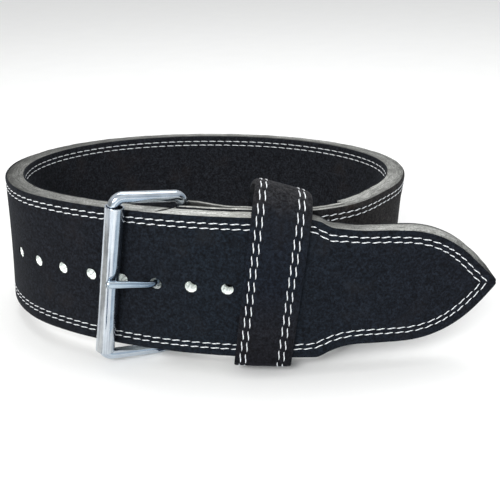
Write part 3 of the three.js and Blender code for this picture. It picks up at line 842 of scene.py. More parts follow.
def leather_ply(name, pattern, ribbon, travel_end, near, thickness, material, tip):
    """A leather ply with round-cornered cut edges, from the tip or from the step to its end."""
    rim = 8 * MM
    section = edge_section(thickness, 0.5 * MM)
    section = np.vstack([[0, rim], section, [thickness, rim]])
    if tip:
        rings = [pattern.edge_line(inset, travel_end) for _, inset in section]
    else:
        travel = ribbon.travel
        rings = [np.stack([travel, np.full_like(travel, pattern.middle - inset)], 1) for _, inset in section]
    upper = np.stack(rings, axis=1)
    rough = rough_edge(upper[..., 0])
    upper = upper - np.stack([np.zeros_like(rough), rough], axis=-1)
    lower = upper[:, ::-1] * (1, -1)
    depth = np.concatenate([section[:, 0], section[::-1, 0]]) + near
    grid = np.concatenate([upper, lower], axis=1)
    travel, height = grid[..., 0], grid[..., 1] + pattern.middle
    points = ribbon.place(travel, height, np.broadcast_to(depth, travel.shape))
    across = np.append(depth, depth[0])
    across[[0, -1]] -= rim
    across[len(section) - 1 : len(section) + 1] += rim
    uv = np.stack([np.concatenate([travel, travel[:, :1]], 1), np.broadcast_to(across, (len(travel), len(across)))], -1)
    return loft(name, points, uv, material)


def rough_edge(travel):
    """Small unevenness of a cut edge along the strap, from a few fixed waves."""
    waves = ((0.16, 31, 0.3), (0.10, 17, 1.9), (0.07, 9, 4.1))
    return sum(a * MM * (0.5 + 0.5 * np.sin(travel * 2 * math.pi / (length * MM) + at)) for a, length, at in waves)


def hole_tools(pattern, material):
    """A round cutter for each hole, through the whole strap."""
    strap, tools = pattern.strap, []
    turn = np.linspace(0, 2 * math.pi, 40, endpoint=False)
    for k in range(strap.hole_count):
        distance = strap.first_hole + k * strap.hole_pitch
        centre = pattern.line.at(distance, pattern.thickness / 2, pattern.middle)
        axis = np.append(pattern.line.inward(distance), 0.0)
        side = np.append(pattern.line.tangent(distance), 0.0)
        ring = strap.hole / 2 * (np.cos(turn)[:, None] * side + np.sin(turn)[:, None] * (0, 0, 1))
        ends = [centre + axis * reach + ring for reach in (-0.7 * pattern.thickness, 0.54 * pattern.thickness)]
        # The walls sit at HOLE_WALL in the UV map, where the core's edge table paints them bright as painted light
        uv = np.full((2, 41, 2), HOLE_WALL)
        uv[1, :, 0] += pattern.thickness
        uv[:, :, 1] = np.linspace(0, strap.hole * math.pi, 41)
        tools.append(finish_mesh(loft(f"hole_tool_{k}", np.stack(ends), uv, material)))
    return tools


def slot_tool(pattern, material):
    """A cutter for the prong's slot at the bend of the fold."""
    size = 4 * pattern.bend
    centre = pattern.line.at(pattern.bar_station, pattern.bend, pattern.middle)
    forward = np.append(pattern.line.tangent(pattern.bar_station), 0.0)
    across = np.append(pattern.line.inward(pattern.bar_station), 0.0)
    centre = centre + forward * (size / 2 - pattern.bend)
    half = pattern.strap.prong_slot / 2
    turn = np.linspace(0, 2 * math.pi, 48, endpoint=False)
    power = 0.35
    wide = size / 2 * np.sign(np.cos(turn)) * np.abs(np.cos(turn)) ** power
    tall = half * np.sign(np.sin(turn)) * np.abs(np.sin(turn)) ** power
    ring = wide[:, None] * forward + tall[:, None] * (0, 0, 1)
    ends = [centre + across * reach + ring for reach in (-size / 2, size / 2)]
    return finish_mesh(loft("slot_tool", np.stack(ends), np.zeros((2, 49, 2)), material))


def crease_tool(pattern, material):
    """A thin slanted cutter for the crack in the tongue's upper edge."""
    start, end = (236 * MM, 3.4 * MM), (228 * MM, 13.4 * MM)
    share = np.linspace(0, 1, 9)
    travel, depth = (a + (b - a) * share for a, b in zip(start, end))
    half = 1.9 * MM * np.sqrt(np.clip(1 - (2 * share - 1) ** 4, 0.02, 1))
    ring = []
    for shift, drop in ((-1, -1.0), (1, -1.0), (0.9, 0.0), (0.1, 1.9), (-0.1, 1.9), (-0.9, 0.0)):
        ring.append(pattern.line.at(travel + shift * half, depth, pattern.strap.width - drop * MM))
    # The crack's walls sit past the edge table's last row, which paints them nearly black as painted shade
    uv = np.full((9, 7, 2), 2 * HOLE_WALL)
    return finish_mesh(loft("crease_tool", np.stack(ring, axis=1), uv, material))


def uv_of(mesh):
    """The UV of every face corner, in metres."""
    uv = np.zeros(2 * len(mesh.loops), dtype=np.float32)
    mesh.uv_layers.active.data.foreach_get("uv", uv)
    return uv[::2], uv[1::2]


def paint(thing, values):
    """Stores a tint for every face corner, which the material multiplies its colour by; on some pieces the tint holds
    painted light and shade.
    """
    layer = thing.data.color_attributes.new(name="tint", type="FLOAT_COLOR", domain="CORNER")
    colours = np.ones((len(values), 4), dtype=np.float32)
    colours[:, :3] = values
    layer.data.foreach_set("color", colours.ravel())


def paint_edge(thing, near, thickness, table):
    """Paints a cut edge's tone, with its painted light and shade, from a table of (mm from the tip, outer, middle,
    inner).
    """
    travel, depth = uv_of(thing.data)
    table = np.array(table)
    across = np.clip((depth - near) / thickness, 0, 1)
    outer, middle, inner = (np.interp(travel, table[:, 0] * MM, table[:, k]) for k in (1, 2, 3))
    first = outer + (middle - outer) * smooth_share(across * 2)
    value = np.where(across < 0.5, first, middle + (inner - middle) * smooth_share(across * 2 - 1))
    # Past HOLE_WALL the hole walls and the crack also get a cool painted tint, as part of their painted light and shade
    paint(thing, value[:, None] * np.where(travel[:, None] > HOLE_WALL - 1 * MM, (0.98, 1.0, 1.03), 1.0))


def paint_face(thing, table):
    """Tints suede from a table of (mm from the tip, red, green, blue)."""
    travel, _ = uv_of(thing.data)
    table = np.array(table)
    paint(thing, np.stack([np.interp(travel, table[:, 0] * MM, table[:, k]) for k in (1, 2, 3)], axis=1))


def stitch_row(place, path, sewing, pitch, lift, slant, start=0.0):
    """A tube for each stitch on a path of (travel, height), with its ends pulled into the suede."""
    sides, rings = 7, 9
    run = np.concatenate([[0], np.cumsum(np.linalg.norm(np.diff(path, axis=0), axis=1))])
    count = int((run[-1] - start) / pitch)
    order = np.arange(count)
    uneven = np.sin(order * 2.4) * np.sin(order * 0.7 + 1)
    centre = start + (order + 0.5 + 0.035 * uneven) * pitch
    way = np.linspace(-0.5, 0.5, rings)
    seated = np.stack([np.interp(centre, run, path[:, k]) for k in (0, 1)], axis=-1)
    ahead = np.stack([np.interp(centre + 0.5 * MM, run, path[:, k]) for k in (0, 1)], axis=-1)
    along = ahead - seated
    along /= np.linalg.norm(along, axis=1)[:, None]
    turned = slant * (1 + 0.3 * uneven)
    cos, sin = np.cos(turned)[:, None], np.sin(turned)[:, None]
    along = along * cos + np.stack([-along[:, 1], along[:, 0]], axis=1) * sin
    square = np.stack([-along[:, 1], along[:, 0]], axis=1)
    length = sewing.stitch * pitch / sewing.pitch
    bend = sewing.thread * (0.2 * np.cos(math.pi * way) + 2 * slant * np.sin(2 * math.pi * way))
    flat = seated[:, None] + way[None, :, None] * length * along[:, None] + bend[None, :, None] * square[:, None]
    bow = lift + 0.36 * sewing.thread * (np.cos(way * math.pi) ** 0.5 - 1)
    middle = place(flat[..., 0], flat[..., 1], -bow[None, :])
    under = place(flat[..., 0], flat[..., 1], 1 * MM - bow[None, :])
    out = middle - under
    out /= np.linalg.norm(out, axis=-1)[..., None]
    tangent = np.gradient(middle, axis=1)
    tangent /= np.linalg.norm(tangent, axis=-1)[..., None]
    side = np.cross(tangent, out)
    out = np.cross(side, tangent)
    turn = np.linspace(0, 2 * math.pi, sides, endpoint=False)
    slim = np.array([0.35, 0.7, 0.9, 1, 1, 1, 0.9, 0.7, 0.35])[None, :, None, None]
    wide = 0.5 * sewing.thread * slim * np.cos(turn)[None, None, :, None] * side[:, :, None]
    tall = 0.38 * sewing.thread * slim * np.sin(turn)[None, None, :, None] * out[:, :, None]
    return middle[:, :, None] + wide + tall


def thread_object(name, tubes, sewing, material):
    """All the stitches of one face as one mesh."""
    tubes = np.concatenate(tubes)
    count, rings, sides = tubes.shape[:3]
    faces, corners = grid_faces(rings, sides, False, True)
    each = (faces[None] + (np.arange(count) * rings * sides)[:, None, None]).reshape(-1, 4)
    uv_step = (sewing.stitch / rings, math.pi * sewing.thread / sides)
    uv = np.stack([np.stack([a * uv_step[0], b * uv_step[1]], axis=-1) for a, b in corners], axis=1)
    uvs = np.tile(uv.reshape(-1, 2), (count, 1))
    listed = each.tolist()
    ends = [np.arange(sides), (rings - 1) * sides + np.arange(sides)[::-1]]
    for k in range(count):
        for end in ends:
            listed.append((end + k * rings * sides).tolist())
    uvs = np.concatenate([uvs, np.zeros((count * 2 * sides, 2))])
    thing = mesh_object(name, grounded(tubes), listed, uvs, material)
    return finish_mesh(thing, sharp_degrees=80)


def sewn_rows(pattern, end, gap):
    """The two stitch rows of each flank, from the tip's apex, as paths of (travel, height)."""
    sewing, rows = pattern.sewing, []
    for row in (sewing.first_row, sewing.first_row + gap):
        upper = pattern.edge_line(pattern.strap.setback + row, end)
        rows += [upper + (0, pattern.middle), upper * (1, -1) + (0, pattern.middle)]
    return rows


def wire(name, path, tangents, across, along, sides, material, closed, uv_run):
    """A round bar along a path, from one direction across and one along for each ring."""
    turn = np.linspace(0, 2 * math.pi, sides, endpoint=False)[None, :, None]
    points = path[:, None] + np.cos(turn) * across[:, None] + np.sin(turn) * along[:, None]
    rows = len(path)
    uv = np.zeros((rows + 1, sides + 1, 2))
    uv[:rows, :, 0] = uv_run[:, None]
    uv[rows, :, 0] = uv_run[-1] + (uv_run[-1] - uv_run[-2])
    uv[:, :, 1] = np.linspace(0, math.pi * 2 * np.linalg.norm(across[0]), sides + 1)
    return loft(name, points, uv, material, close_rows=closed)


class Buckle:
    """The buckle's own directions and places."""

    def __init__(self, pattern):
        self.pattern = pattern
        buckle, line = pattern.buckle, pattern.line
        self.up = pattern.up
        self.rear = pattern.rear_bar(pattern.middle)
        slack = buckle.roller / 2 - buckle.roller_wall - buckle.wire / 2 - buckle.gap
        low, high = pattern.fastened, pattern.fastened + 2 * buckle.depth
        for _ in range(40):
            middle = (low + high) / 2
            if np.linalg.norm(self._flat(self._front(middle, slack) - self.rear)) < buckle.depth:
                low = middle
            else:
                high = middle
        front = self._front(low, slack)
        across = self._flat(self.rear - front)
        self.across = across / np.linalg.norm(across)
        rise = (self.rear - front) @ self.up / 3
        self.middle = front + self.across * buckle.depth / 2 + self.up * rise
        self.roller = self._roller_on(low) + self.up * (rise - buckle.roller_drop)
        self.height = pattern.strap.width + 2 * buckle.clearance + buckle.wire

    def _flat(self, vector):
        return vector - self.up * (vector @ self.up)

    def _roller_on(self, distance):
        buckle, pattern = self.pattern.buckle, self.pattern
        stand = buckle.gap + pattern.drift(distance) + buckle.roller / 2
        return pattern.line.at(distance, -stand, pattern.middle)

    def _front(self, distance, slack):
        return self._roller_on(distance) + slack * np.append(self.pattern.line.tangent(distance), 0.0)

    def frame_path(self, steps=12):
        """The wire's middle line, with the direction out of each bend."""
        buckle = self.pattern.buckle
        half = np.array([buckle.depth / 2, self.height / 2]) - buckle.corner
        path, outs = [], []
        for corner, (side, level) in enumerate(((1, 1), (-1, 1), (-1, -1), (1, -1))):
            turn = math.pi / 2 * (corner + np.linspace(0, 1, steps))[:, None]
            out = np.cos(turn) * self.across + np.sin(turn) * self.up
            centre = self.middle + self.across * side * half[0] + self.up * level * half[1]
            path.append(centre + buckle.corner * out)
            outs.append(out)
        return np.vstack(path), np.vstack(outs)

    def prong_points(self):
        """The prong's middle line: from its eye through the hole, then straight over the roller."""
        pattern, buckle = self.pattern, self.pattern.buckle
        strap_line, fastened = pattern.line, pattern.fastened
        level = pattern.middle + buckle.prong_rise
        mouth = strap_line.at(fastened, 0.0, level)
        inside = strap_line.at(fastened, pattern.thickness, level)
        outward = -np.append(strap_line.inward(fastened), 0.0)
        eye = self._on_plane(self.rear, mouth)
        eye_radius = buckle.wire / 2 + buckle.gap + buckle.eye / 2
        to_eye = (inside - eye) / np.linalg.norm(inside - eye)
        tangent = np.append(strap_line.tangent(fastened), 0.0)
        leaving = mouth + outward * 0.75 * buckle.prong + tangent * buckle.prong / 2
        to_roller = self._on_plane(self.roller, leaving) - leaving
        reach = np.linalg.norm(to_roller)
        lift = buckle.roller / 2 + 2 * buckle.gap + buckle.prong / 2
        along = to_roller / reach
        over = outward - along * (outward @ along)
        over /= np.linalg.norm(over)
        touch = math.sqrt(reach**2 - lift**2)
        direction = along * touch / reach + over * lift / reach
        ends = (touch / 2, touch + buckle.prong_past)
        rod = [leaving + direction * length - self.up * buckle.prong_sag * length / touch for length in ends]
        return np.array([eye + to_eye * eye_radius, inside, mouth, leaving, *rod]), eye, eye_radius

    def _on_plane(self, point, base):
        return point + self.up * ((base - point) @ self.up)


# Operators


class BELT_OT_strap(bpy.types.Operator):
    """Cuts the strap's plies: suede outside, leather core, suede inside"""

    bl_idname = "belt.strap"
    bl_label = "Strap"

    # Brightness of the cut edge, as (mm from the tip, outer third, middle, inner third); the rows from 4990 mm are
    # painted light that makes the hole walls bright, and the last row is painted shade that makes the crack's walls
    # nearly black
    edge_tone_with_painted_light_and_shade = (
        (0, 0.05, 0.06, 0.05),
        (9, 0.12, 0.14, 0.08),
        (20, 0.40, 0.36, 0.15),
        (34, 0.64, 0.66, 0.35),
        (60, 0.72, 0.82, 0.42),
        (80, 0.70, 0.92, 0.50),
        (105, 0.60, 0.42, 0.25),
        (150, 0.30, 0.32, 0.25),
        (175, 0.95, 1.05, 0.90),
        (225, 0.90, 1.05, 1.00),
        (262, 0.80, 0.95, 0.80),
        (285, 0.42, 0.52, 0.50),
        (350, 0.22, 0.32, 0.42),
        (420, 0.10, 0.22, 0.36),
        (520, 0.14, 0.24, 0.28),
        (640, 0.65, 0.50, 0.06),
        (760, 0.65, 0.50, 0.06),
        (850, 0.30, 0.45, 0.35),
        (930, 0.40, 0.60, 0.80),
        (1100, 0.45, 0.75, 1.00),
        (4900, 0.45, 0.75, 1.00),
        # Painted light: the hole walls are made bright
        (4990, 2.70, 2.70, 2.70),
        (6000, 2.70, 2.70, 2.70),
        # Painted shade: the crack's walls are made nearly black
        (6500, 0.03, 0.03, 0.03),
    )
    # Tint of the outer suede, as (mm from the tip, red, green, blue)
    outer_tint = (
        (0, 0.80, 0.82, 0.98),
        (70, 0.74, 0.84, 1.02),
        (200, 0.68, 0.87, 1.05),
        (300, 0.82, 0.82, 0.93),
        (420, 0.80, 0.76, 0.86),
        (820, 1.40, 1.15, 1.00),
        (900, 2.90, 2.10, 1.55),
        (980, 2.50, 1.90, 1.45),
        (1060, 1.10, 1.05, 1.00),
    )
    inner_tint = ((0, 1.25, 1.18, 1.2), (1000, 1.25, 1.18, 1.2))

    def execute(self, context):
        pattern = Pattern(context.scene)
        colours, strap = context.scene.belt_colours, pattern.strap
        nap = shared_material(suede, colours)
        raw = shared_material(cut_edge, colours)
        ribbon, flat = pattern.outer_ribbon(), pattern.flat_ribbon()
        outside = suede_ply(
            "suede_outside", pattern, ribbon, ribbon.travel[-1], 0.0, strap.suede, True, nap
        )
        finish_mesh(combine(finish_mesh(outside), [*hole_tools(pattern, nap), slot_tool(pattern, nap)], "DIFFERENCE"))
        paint_face(outside, self.outer_tint)
        settle(outside, "belt", "black_suede", "outer_suede")
        near = strap.suede + strap.ply_gap
        core = leather_ply("leather_core_cut", pattern, flat, pattern.step, near, strap.core, raw, True)
        tools = [*hole_tools(pattern, raw), crease_tool(pattern, raw)]
        finish_mesh(combine(finish_mesh(core), tools, "DIFFERENCE"))
        # Paints the edge's tone, with painted light on the hole walls and painted shade in the crack
        paint_edge(core, near, strap.core, self.edge_tone_with_painted_light_and_shade)
        settle(core, "belt", "raw_leather", "leather_core")
        depth = pattern.thickness - strap.suede
        inside = suede_ply("suede_inside", pattern, flat, pattern.step, depth, pattern.thickness, False, nap)
        finish_mesh(combine(finish_mesh(inside), hole_tools(pattern, nap), "DIFFERENCE"))
        paint_face(inside, self.inner_tint)
        settle(inside, "belt", "black_suede", "inner_suede")
        return {"FINISHED"}


class BELT_OT_fold(bpy.types.Operator):
    """Cuts the skived leather that folds round the buckle's rear bar"""

    bl_idname = "belt.fold"
    bl_label = "Folded End"

    # Brightness of the skived edge, as (mm from the tip, outer, middle, inner); the inner column's darkness round the
    # bar is painted shade on the faces that look in at the bar
    edge_tone_with_painted_light_and_shade = (
        (990, 0.60, 0.60, 0.50),
        (1030, 1.00, 0.85, 0.40),
        (1090, 1.30, 1.10, 0.10),
        (1150, 0.60, 0.50, 0.06),
        (1220, 1.30, 1.10, 0.10),
        (1400, 1.10, 0.90, 0.40),
    )

    def execute(self, context):
        pattern = Pattern(context.scene)
        strap = pattern.strap
        raw = shared_material(cut_edge, context.scene.belt_colours)
        ribbon = pattern.fold_ribbon()
        near = strap.suede + strap.ply_gap
        fold = leather_ply("folded_end_leather", pattern, ribbon, None, near, strap.fold_leather, raw, False)
        finish_mesh(combine(finish_mesh(fold), [slot_tool(pattern, raw)], "DIFFERENCE"))
        # Paints the skived edge's tone, with painted shade on its inner faces
        paint_edge(fold, near, strap.fold_leather, self.edge_tone_with_painted_light_and_shade)
        settle(fold, "belt", "raw_leather", "fold_leather")
        return {"FINISHED"}


class BELT_OT_stitches(bpy.types.Operator):
    """Sews two rows of lockstitch round both faces of the strap"""

    bl_idname = "belt.stitches"
    bl_label = "Strap Stitches"

    def execute(self, context):
        pattern = Pattern(context.scene)
        sewing = pattern.sewing
        thread = shared_material(bonded_thread, context.scene.belt_colours)
        outer, flat = pattern.outer_ribbon(), pattern.flat_ribbon()
        lift = 0.3 * sewing.thread - sewing.groove
        faces = (
            ("stitches_outside", outer, outer.travel[-1], 0.0, 1, sewing.outer_gap, sewing.pitch, sewing.slant),
            (
                "stitches_inside", flat, pattern.step, pattern.thickness, -1,
                sewing.row_gap, sewing.inner_pitch, sewing.inner_slant,
            ),
        )
        for name, ribbon, end, depth, way, gap, pitch, slant in faces:
            place = lambda travel, height, low, r=ribbon, d=depth, w=way: r.place(travel, height, d + w * low)
            tubes = [
                stitch_row(place, path, sewing, pitch, lift, -slant, start=0.3 * MM)
                for path in sewn_rows(pattern, end - 2 * MM, gap)
            ]
            settle(thread_object(name, tubes, sewing, thread), "belt", None)
        return {"FINISHED"}


class BELT_OT_keeper(bpy.types.Operator):
    """Makes the suede keeper and its stitches"""

    bl_idname = "belt.keeper"
    bl_label = "Keeper"

    # Tint of the keeper, rubbed brown over its crest and lightened there as a painted highlight, as (mm round it from
    # the back, red, green, blue)
    rubbed_crest_and_painted_highlight = (
        (0, 1.00, 1.00, 1.00),
        (12, 1.70, 1.45, 1.30),
        (26, 3.20, 2.60, 2.20),
        (38, 2.10, 1.80, 1.60),
        (52, 0.76, 0.86, 1.04),
        (100, 0.62, 0.76, 1.02),
        (135, 0.90, 0.80, 0.85),
        (160, 0.65, 0.55, 0.60),
        (400, 0.80, 0.80, 0.80),
    )

    def execute(self, context):
        pattern = Pattern(context.scene)
        sewing, keeper = pattern.sewing, pattern.keeper
        colours = context.scene.belt_colours
        half, wall = keeper.width / 2, keeper.wall
        reach = np.array([d for d in EDGE_LINES if d < half])
        relief = sewn_relief(pattern, reach, sewing.row_gap)
        across = np.concatenate([reach - half, half - reach[::-1]])
        across = across - keeper.rows_aside * smooth_share((half - np.abs(across)) / (4 * MM))
        thick = np.concatenate([wall - relief, (wall - relief)[::-1]])
        across = np.concatenate([across, [half, -half]])
        thick = np.concatenate([thick, [0.0, 0.0]])
        loop = [self.outline(pattern, position / half, depth) for position, depth in zip(across, thick)]
        points = np.stack(loop, axis=1)
        steps = np.linalg.norm(np.diff(points[:, 0], axis=0, append=points[:1, 0]), axis=1)
        run = np.concatenate([[0], np.cumsum(steps)])
        uv = np.zeros((len(run), len(across) + 1, 2))
        uv[..., 0] = run[:, None]
        uv[..., 1] = np.append(across, across[0])
        band = loft("keeper_loop", points, uv, shared_material(suede, colours), close_rows=True)
        # Paints the rubbed brown and the painted highlight over the crest
        paint_face(finish_mesh(band), self.rubbed_crest_and_painted_highlight)
        settle(band, "belt", "black_suede", "keeper")
        thread = shared_material(bonded_thread, colours)
        tubes = []
        lift = 0.3 * sewing.thread - sewing.groove
        for row in (sewing.first_row, sewing.first_row + sewing.row_gap):
            for side in (-1, 1):
                tubes.append(self.row(pattern, side * (half - row) - keeper.rows_aside, wall + lift))
        settle(thread_object("stitches_keeper", tubes, sewing, thread), "belt", None)
        return {"FINISHED"}

    @staticmethod
    def outline(pattern, side, thick, fine=True):
        """The keeper's line round the strap at one place across its width, at a height in its wall."""
        keeper, strap = pattern.keeper, pattern.strap
        stack = pattern.thickness + strap.overlap_gap + pattern.fold_flat
        near, far = -keeper.gap, stack + keeper.gap
        middle, half = (near + far) / 2, (far - near) / 2
        crest = strap.width + keeper.rise - side * keeper.slope / 2 - keeper.curl * abs(side) ** 7
        low = keeper.corner - keeper.drop
        arcs = (
            (middle, crest - half, half, 0.0, math.pi, 30, 45),
            (near + keeper.corner, low, keeper.corner, math.pi, math.pi / 2, 8, 8),
            (far - keeper.corner, low, keeper.corner, 1.5 * math.pi, math.pi / 2, 8, 45),
        )
        turns = []
        for depth, height, radius, start, sweep, steps, _ in arcs:
            turn = start + np.linspace(0, sweep, steps)
            spot = (depth + radius * np.cos(turn), height + radius * np.sin(turn))
            turns.append(np.stack([*spot, np.cos(turn), np.sin(turn)], axis=1))
        parts = []
        for k, arc in enumerate(arcs):
            last, first = turns[k][-1], turns[(k + 1) % len(arcs)][0]
            share = np.linspace(0, 1, arc[-1] + 1)[1:-1, None]
            parts += [turns[k], last + (first - last) * share]
        line = np.vstack(parts)
        level = line[:, 1] + line[:, 3] * thick
        shift = side * keeper.width / 2 + (level - pattern.middle) * math.tan(keeper.lean)
        rise = smooth_share(2 * (level - pattern.middle) / strap.width)
        shift = shift - keeper.twist * rise * smooth_share((line[:, 0] - middle) / half)
        return pattern.line.at(keeper.from_tip - shift, line[:, 0] + line[:, 2] * thick, level)

    def row(self, pattern, across, thick):
        """Stitches along the keeper's face, over its crest and down its back."""
        sewing, half = pattern.sewing, pattern.keeper.width / 2
        base = self.outline(pattern, across / half, thick)
        run = np.concatenate([[0], np.cumsum(np.linalg.norm(np.diff(base, axis=0), axis=1))])
        samples = {}

        def place(travel, shift, low):
            travel, shift, low = np.broadcast_arrays(travel, shift, low)
            key = "grid"
            if key not in samples:
                lanes = np.linspace(-2 * MM, 2 * MM, 5)
                depths = np.linspace(-2 * MM, 2 * MM, 5)
                samples[key] = (lanes, depths, np.array([
                    [self.outline(pattern, (across + a) / half, thick + d) for d in depths] for a in lanes
                ]))
            lanes, depths, grid = samples[key]
            a = np.clip((shift - lanes[0]) / (lanes[1] - lanes[0]), 0, 3.999)
            d = np.clip((-low - depths[0]) / (depths[1] - depths[0]), 0, 3.999)
            ai, di = a.astype(int), d.astype(int)
            af, df = (a - ai)[..., None], (d - di)[..., None]
            where = np.interp(travel, run, np.arange(len(run)))
            wi = np.clip(where.astype(int), 0, len(run) - 2)
            wf = (where - wi)[..., None]
            total = 0.0
            for ka, wa in ((ai, 1 - af), (ai + 1, af)):
                for kd, wd in ((di, 1 - df), (di + 1, df)):
                    total = total + wa * wd * ((1 - wf) * grid[ka, kd, wi] + wf * grid[ka, kd, wi + 1])
            return total

        path = np.stack([run, np.zeros_like(run)], axis=1)
        return stitch_row(place, path, sewing, sewing.keeper_pitch, 0.0, sewing.keeper_slant)


class BELT_OT_buckle(bpy.types.Operator):
    """Bends the buckle's frame, rolls its roller and forges its prong"""

    bl_idname = "belt.buckle"
    bl_label = "Buckle"

    def execute(self, context):
        pattern = Pattern(context.scene)
        sizes, buckle = pattern.buckle, Buckle(pattern)
        steel = shared_material(zinc_plate, context.scene.belt_colours)
        path, outs = buckle.frame_path()
        normal = np.cross(buckle.across, buckle.up) * sizes.wire / 2
        run = np.concatenate([[0], np.cumsum(np.linalg.norm(np.diff(path, axis=0), axis=1))])
        across = outs * sizes.wire / 2
        ring = wire(
            "buckle_wire_frame", path, None, across, np.broadcast_to(normal, across.shape), 28, steel, True, run
        )
        paint_face(finish_mesh(ring), ((0, 1.00, 1.02, 1.04), (1, 1.00, 1.02, 1.04)))
        settle(ring, "belt", "steel", "buckle_frame")
        self.roller(pattern, buckle, steel)
        self.prong(pattern, buckle, steel)
        return {"FINISHED"}

    @staticmethod
    def roller(pattern, buckle, steel):
        sizes = pattern.buckle
        half = (buckle.height - 2 * sizes.corner) / 2 + sizes.roller_past
        outer, inner = sizes.roller / 2, sizes.roller / 2 - sizes.roller_wall
        lip = 0.35 * MM
        turn = np.linspace(0, math.pi / 2, 5)
        corner = np.stack([outer - lip + lip * np.cos(turn), half - lip + lip * np.sin(turn)], axis=1)
        bore = np.stack([inner + lip - lip * np.sin(turn), half - lip + lip * np.cos(turn)], axis=1)
        top = np.vstack([corner, bore])
        profile = np.vstack([top, top[::-1] * (1, -1)])
        side = np.cross(buckle.up, buckle.across)
        around = np.linspace(0, 2 * math.pi, 64, endpoint=False)[:, None, None]
        spokes = np.cos(around) * buckle.across + np.sin(around) * side
        points = buckle.roller + spokes * profile[None, :, :1] + buckle.up * profile[None, :, 1:]
        length = np.concatenate([[0], np.cumsum(np.linalg.norm(np.diff(profile, axis=0), axis=1))])
        uv = np.zeros((65, len(profile) + 1, 2))
        uv[..., 0] = np.append(length, length[-1] + 2 * half)
        uv[..., 1] = np.linspace(0, 2 * math.pi * outer, 65)[:, None]
        tube = loft("buckle_roller", points, uv, steel, close_rows=True)
        paint_face(finish_mesh(tube), ((0, 1.0, 1.0, 1.0), (1, 1.0, 1.0, 1.0)))
        settle(tube, "roller", "steel", "roller")

    # Tint of the prong, darkest some 24 mm from its eye and lighter towards the roller, as (mm from its eye, red,
    # green, blue)
    prong_tint = (
        (0, 0.45, 0.50, 0.55),
        (24, 0.32, 0.38, 0.44),
        (34, 0.50, 0.59, 0.66),
        (52, 0.74, 0.80, 0.84),
        (64, 0.92, 0.93, 0.94),
    )

    def prong(self, pattern, buckle, steel):
        sizes = pattern.buckle
        points, eye, eye_radius = buckle.prong_points()
        line = Line(points, 30)
        at = np.linspace(0, line.length, 80)
        path, tangent = line.point(at), line.tangent(at)
        across = np.cross(tangent, buckle.up)
        across /= np.linalg.norm(across, axis=1)[:, None]
        blunt = 2.2 * MM
        end = np.sqrt(np.clip(1 - np.clip((at - line.length + blunt) / blunt, 0, 0.995) ** 2, 0.01, 1))
        swell = 0.78 + 0.22 * smooth_share((at - 0.35 * line.length) / (0.6 * line.length))
        scale = (end * swell)[:, None]
        tall = np.broadcast_to(buckle.up * sizes.prong_height / 2, across.shape) * scale
        rod = wire(
            "buckle_prong", path, tangent, across * scale * sizes.prong / 2, tall, 20, steel, False, at
        )
        turn = np.linspace(0, 2 * math.pi, 48, endpoint=False)[:, None]
        side = np.cross(buckle.across, buckle.up)
        radial = np.cos(turn) * buckle.across + np.sin(turn) * side / np.linalg.norm(side)
        ring = wire(
            "prong_eye", eye + eye_radius * radial, None, radial * sizes.eye / 2,
            np.broadcast_to(buckle.up * 0.86 * sizes.prong_height / 2, radial.shape), 20, steel, True,
            turn[:, 0] * eye_radius,
        )
        combine(finish_mesh(rod), [finish_mesh(ring)], "UNION")
        paint_face(finish_mesh(rod), self.prong_tint)
        settle(rod, "belt", "steel", "prong")


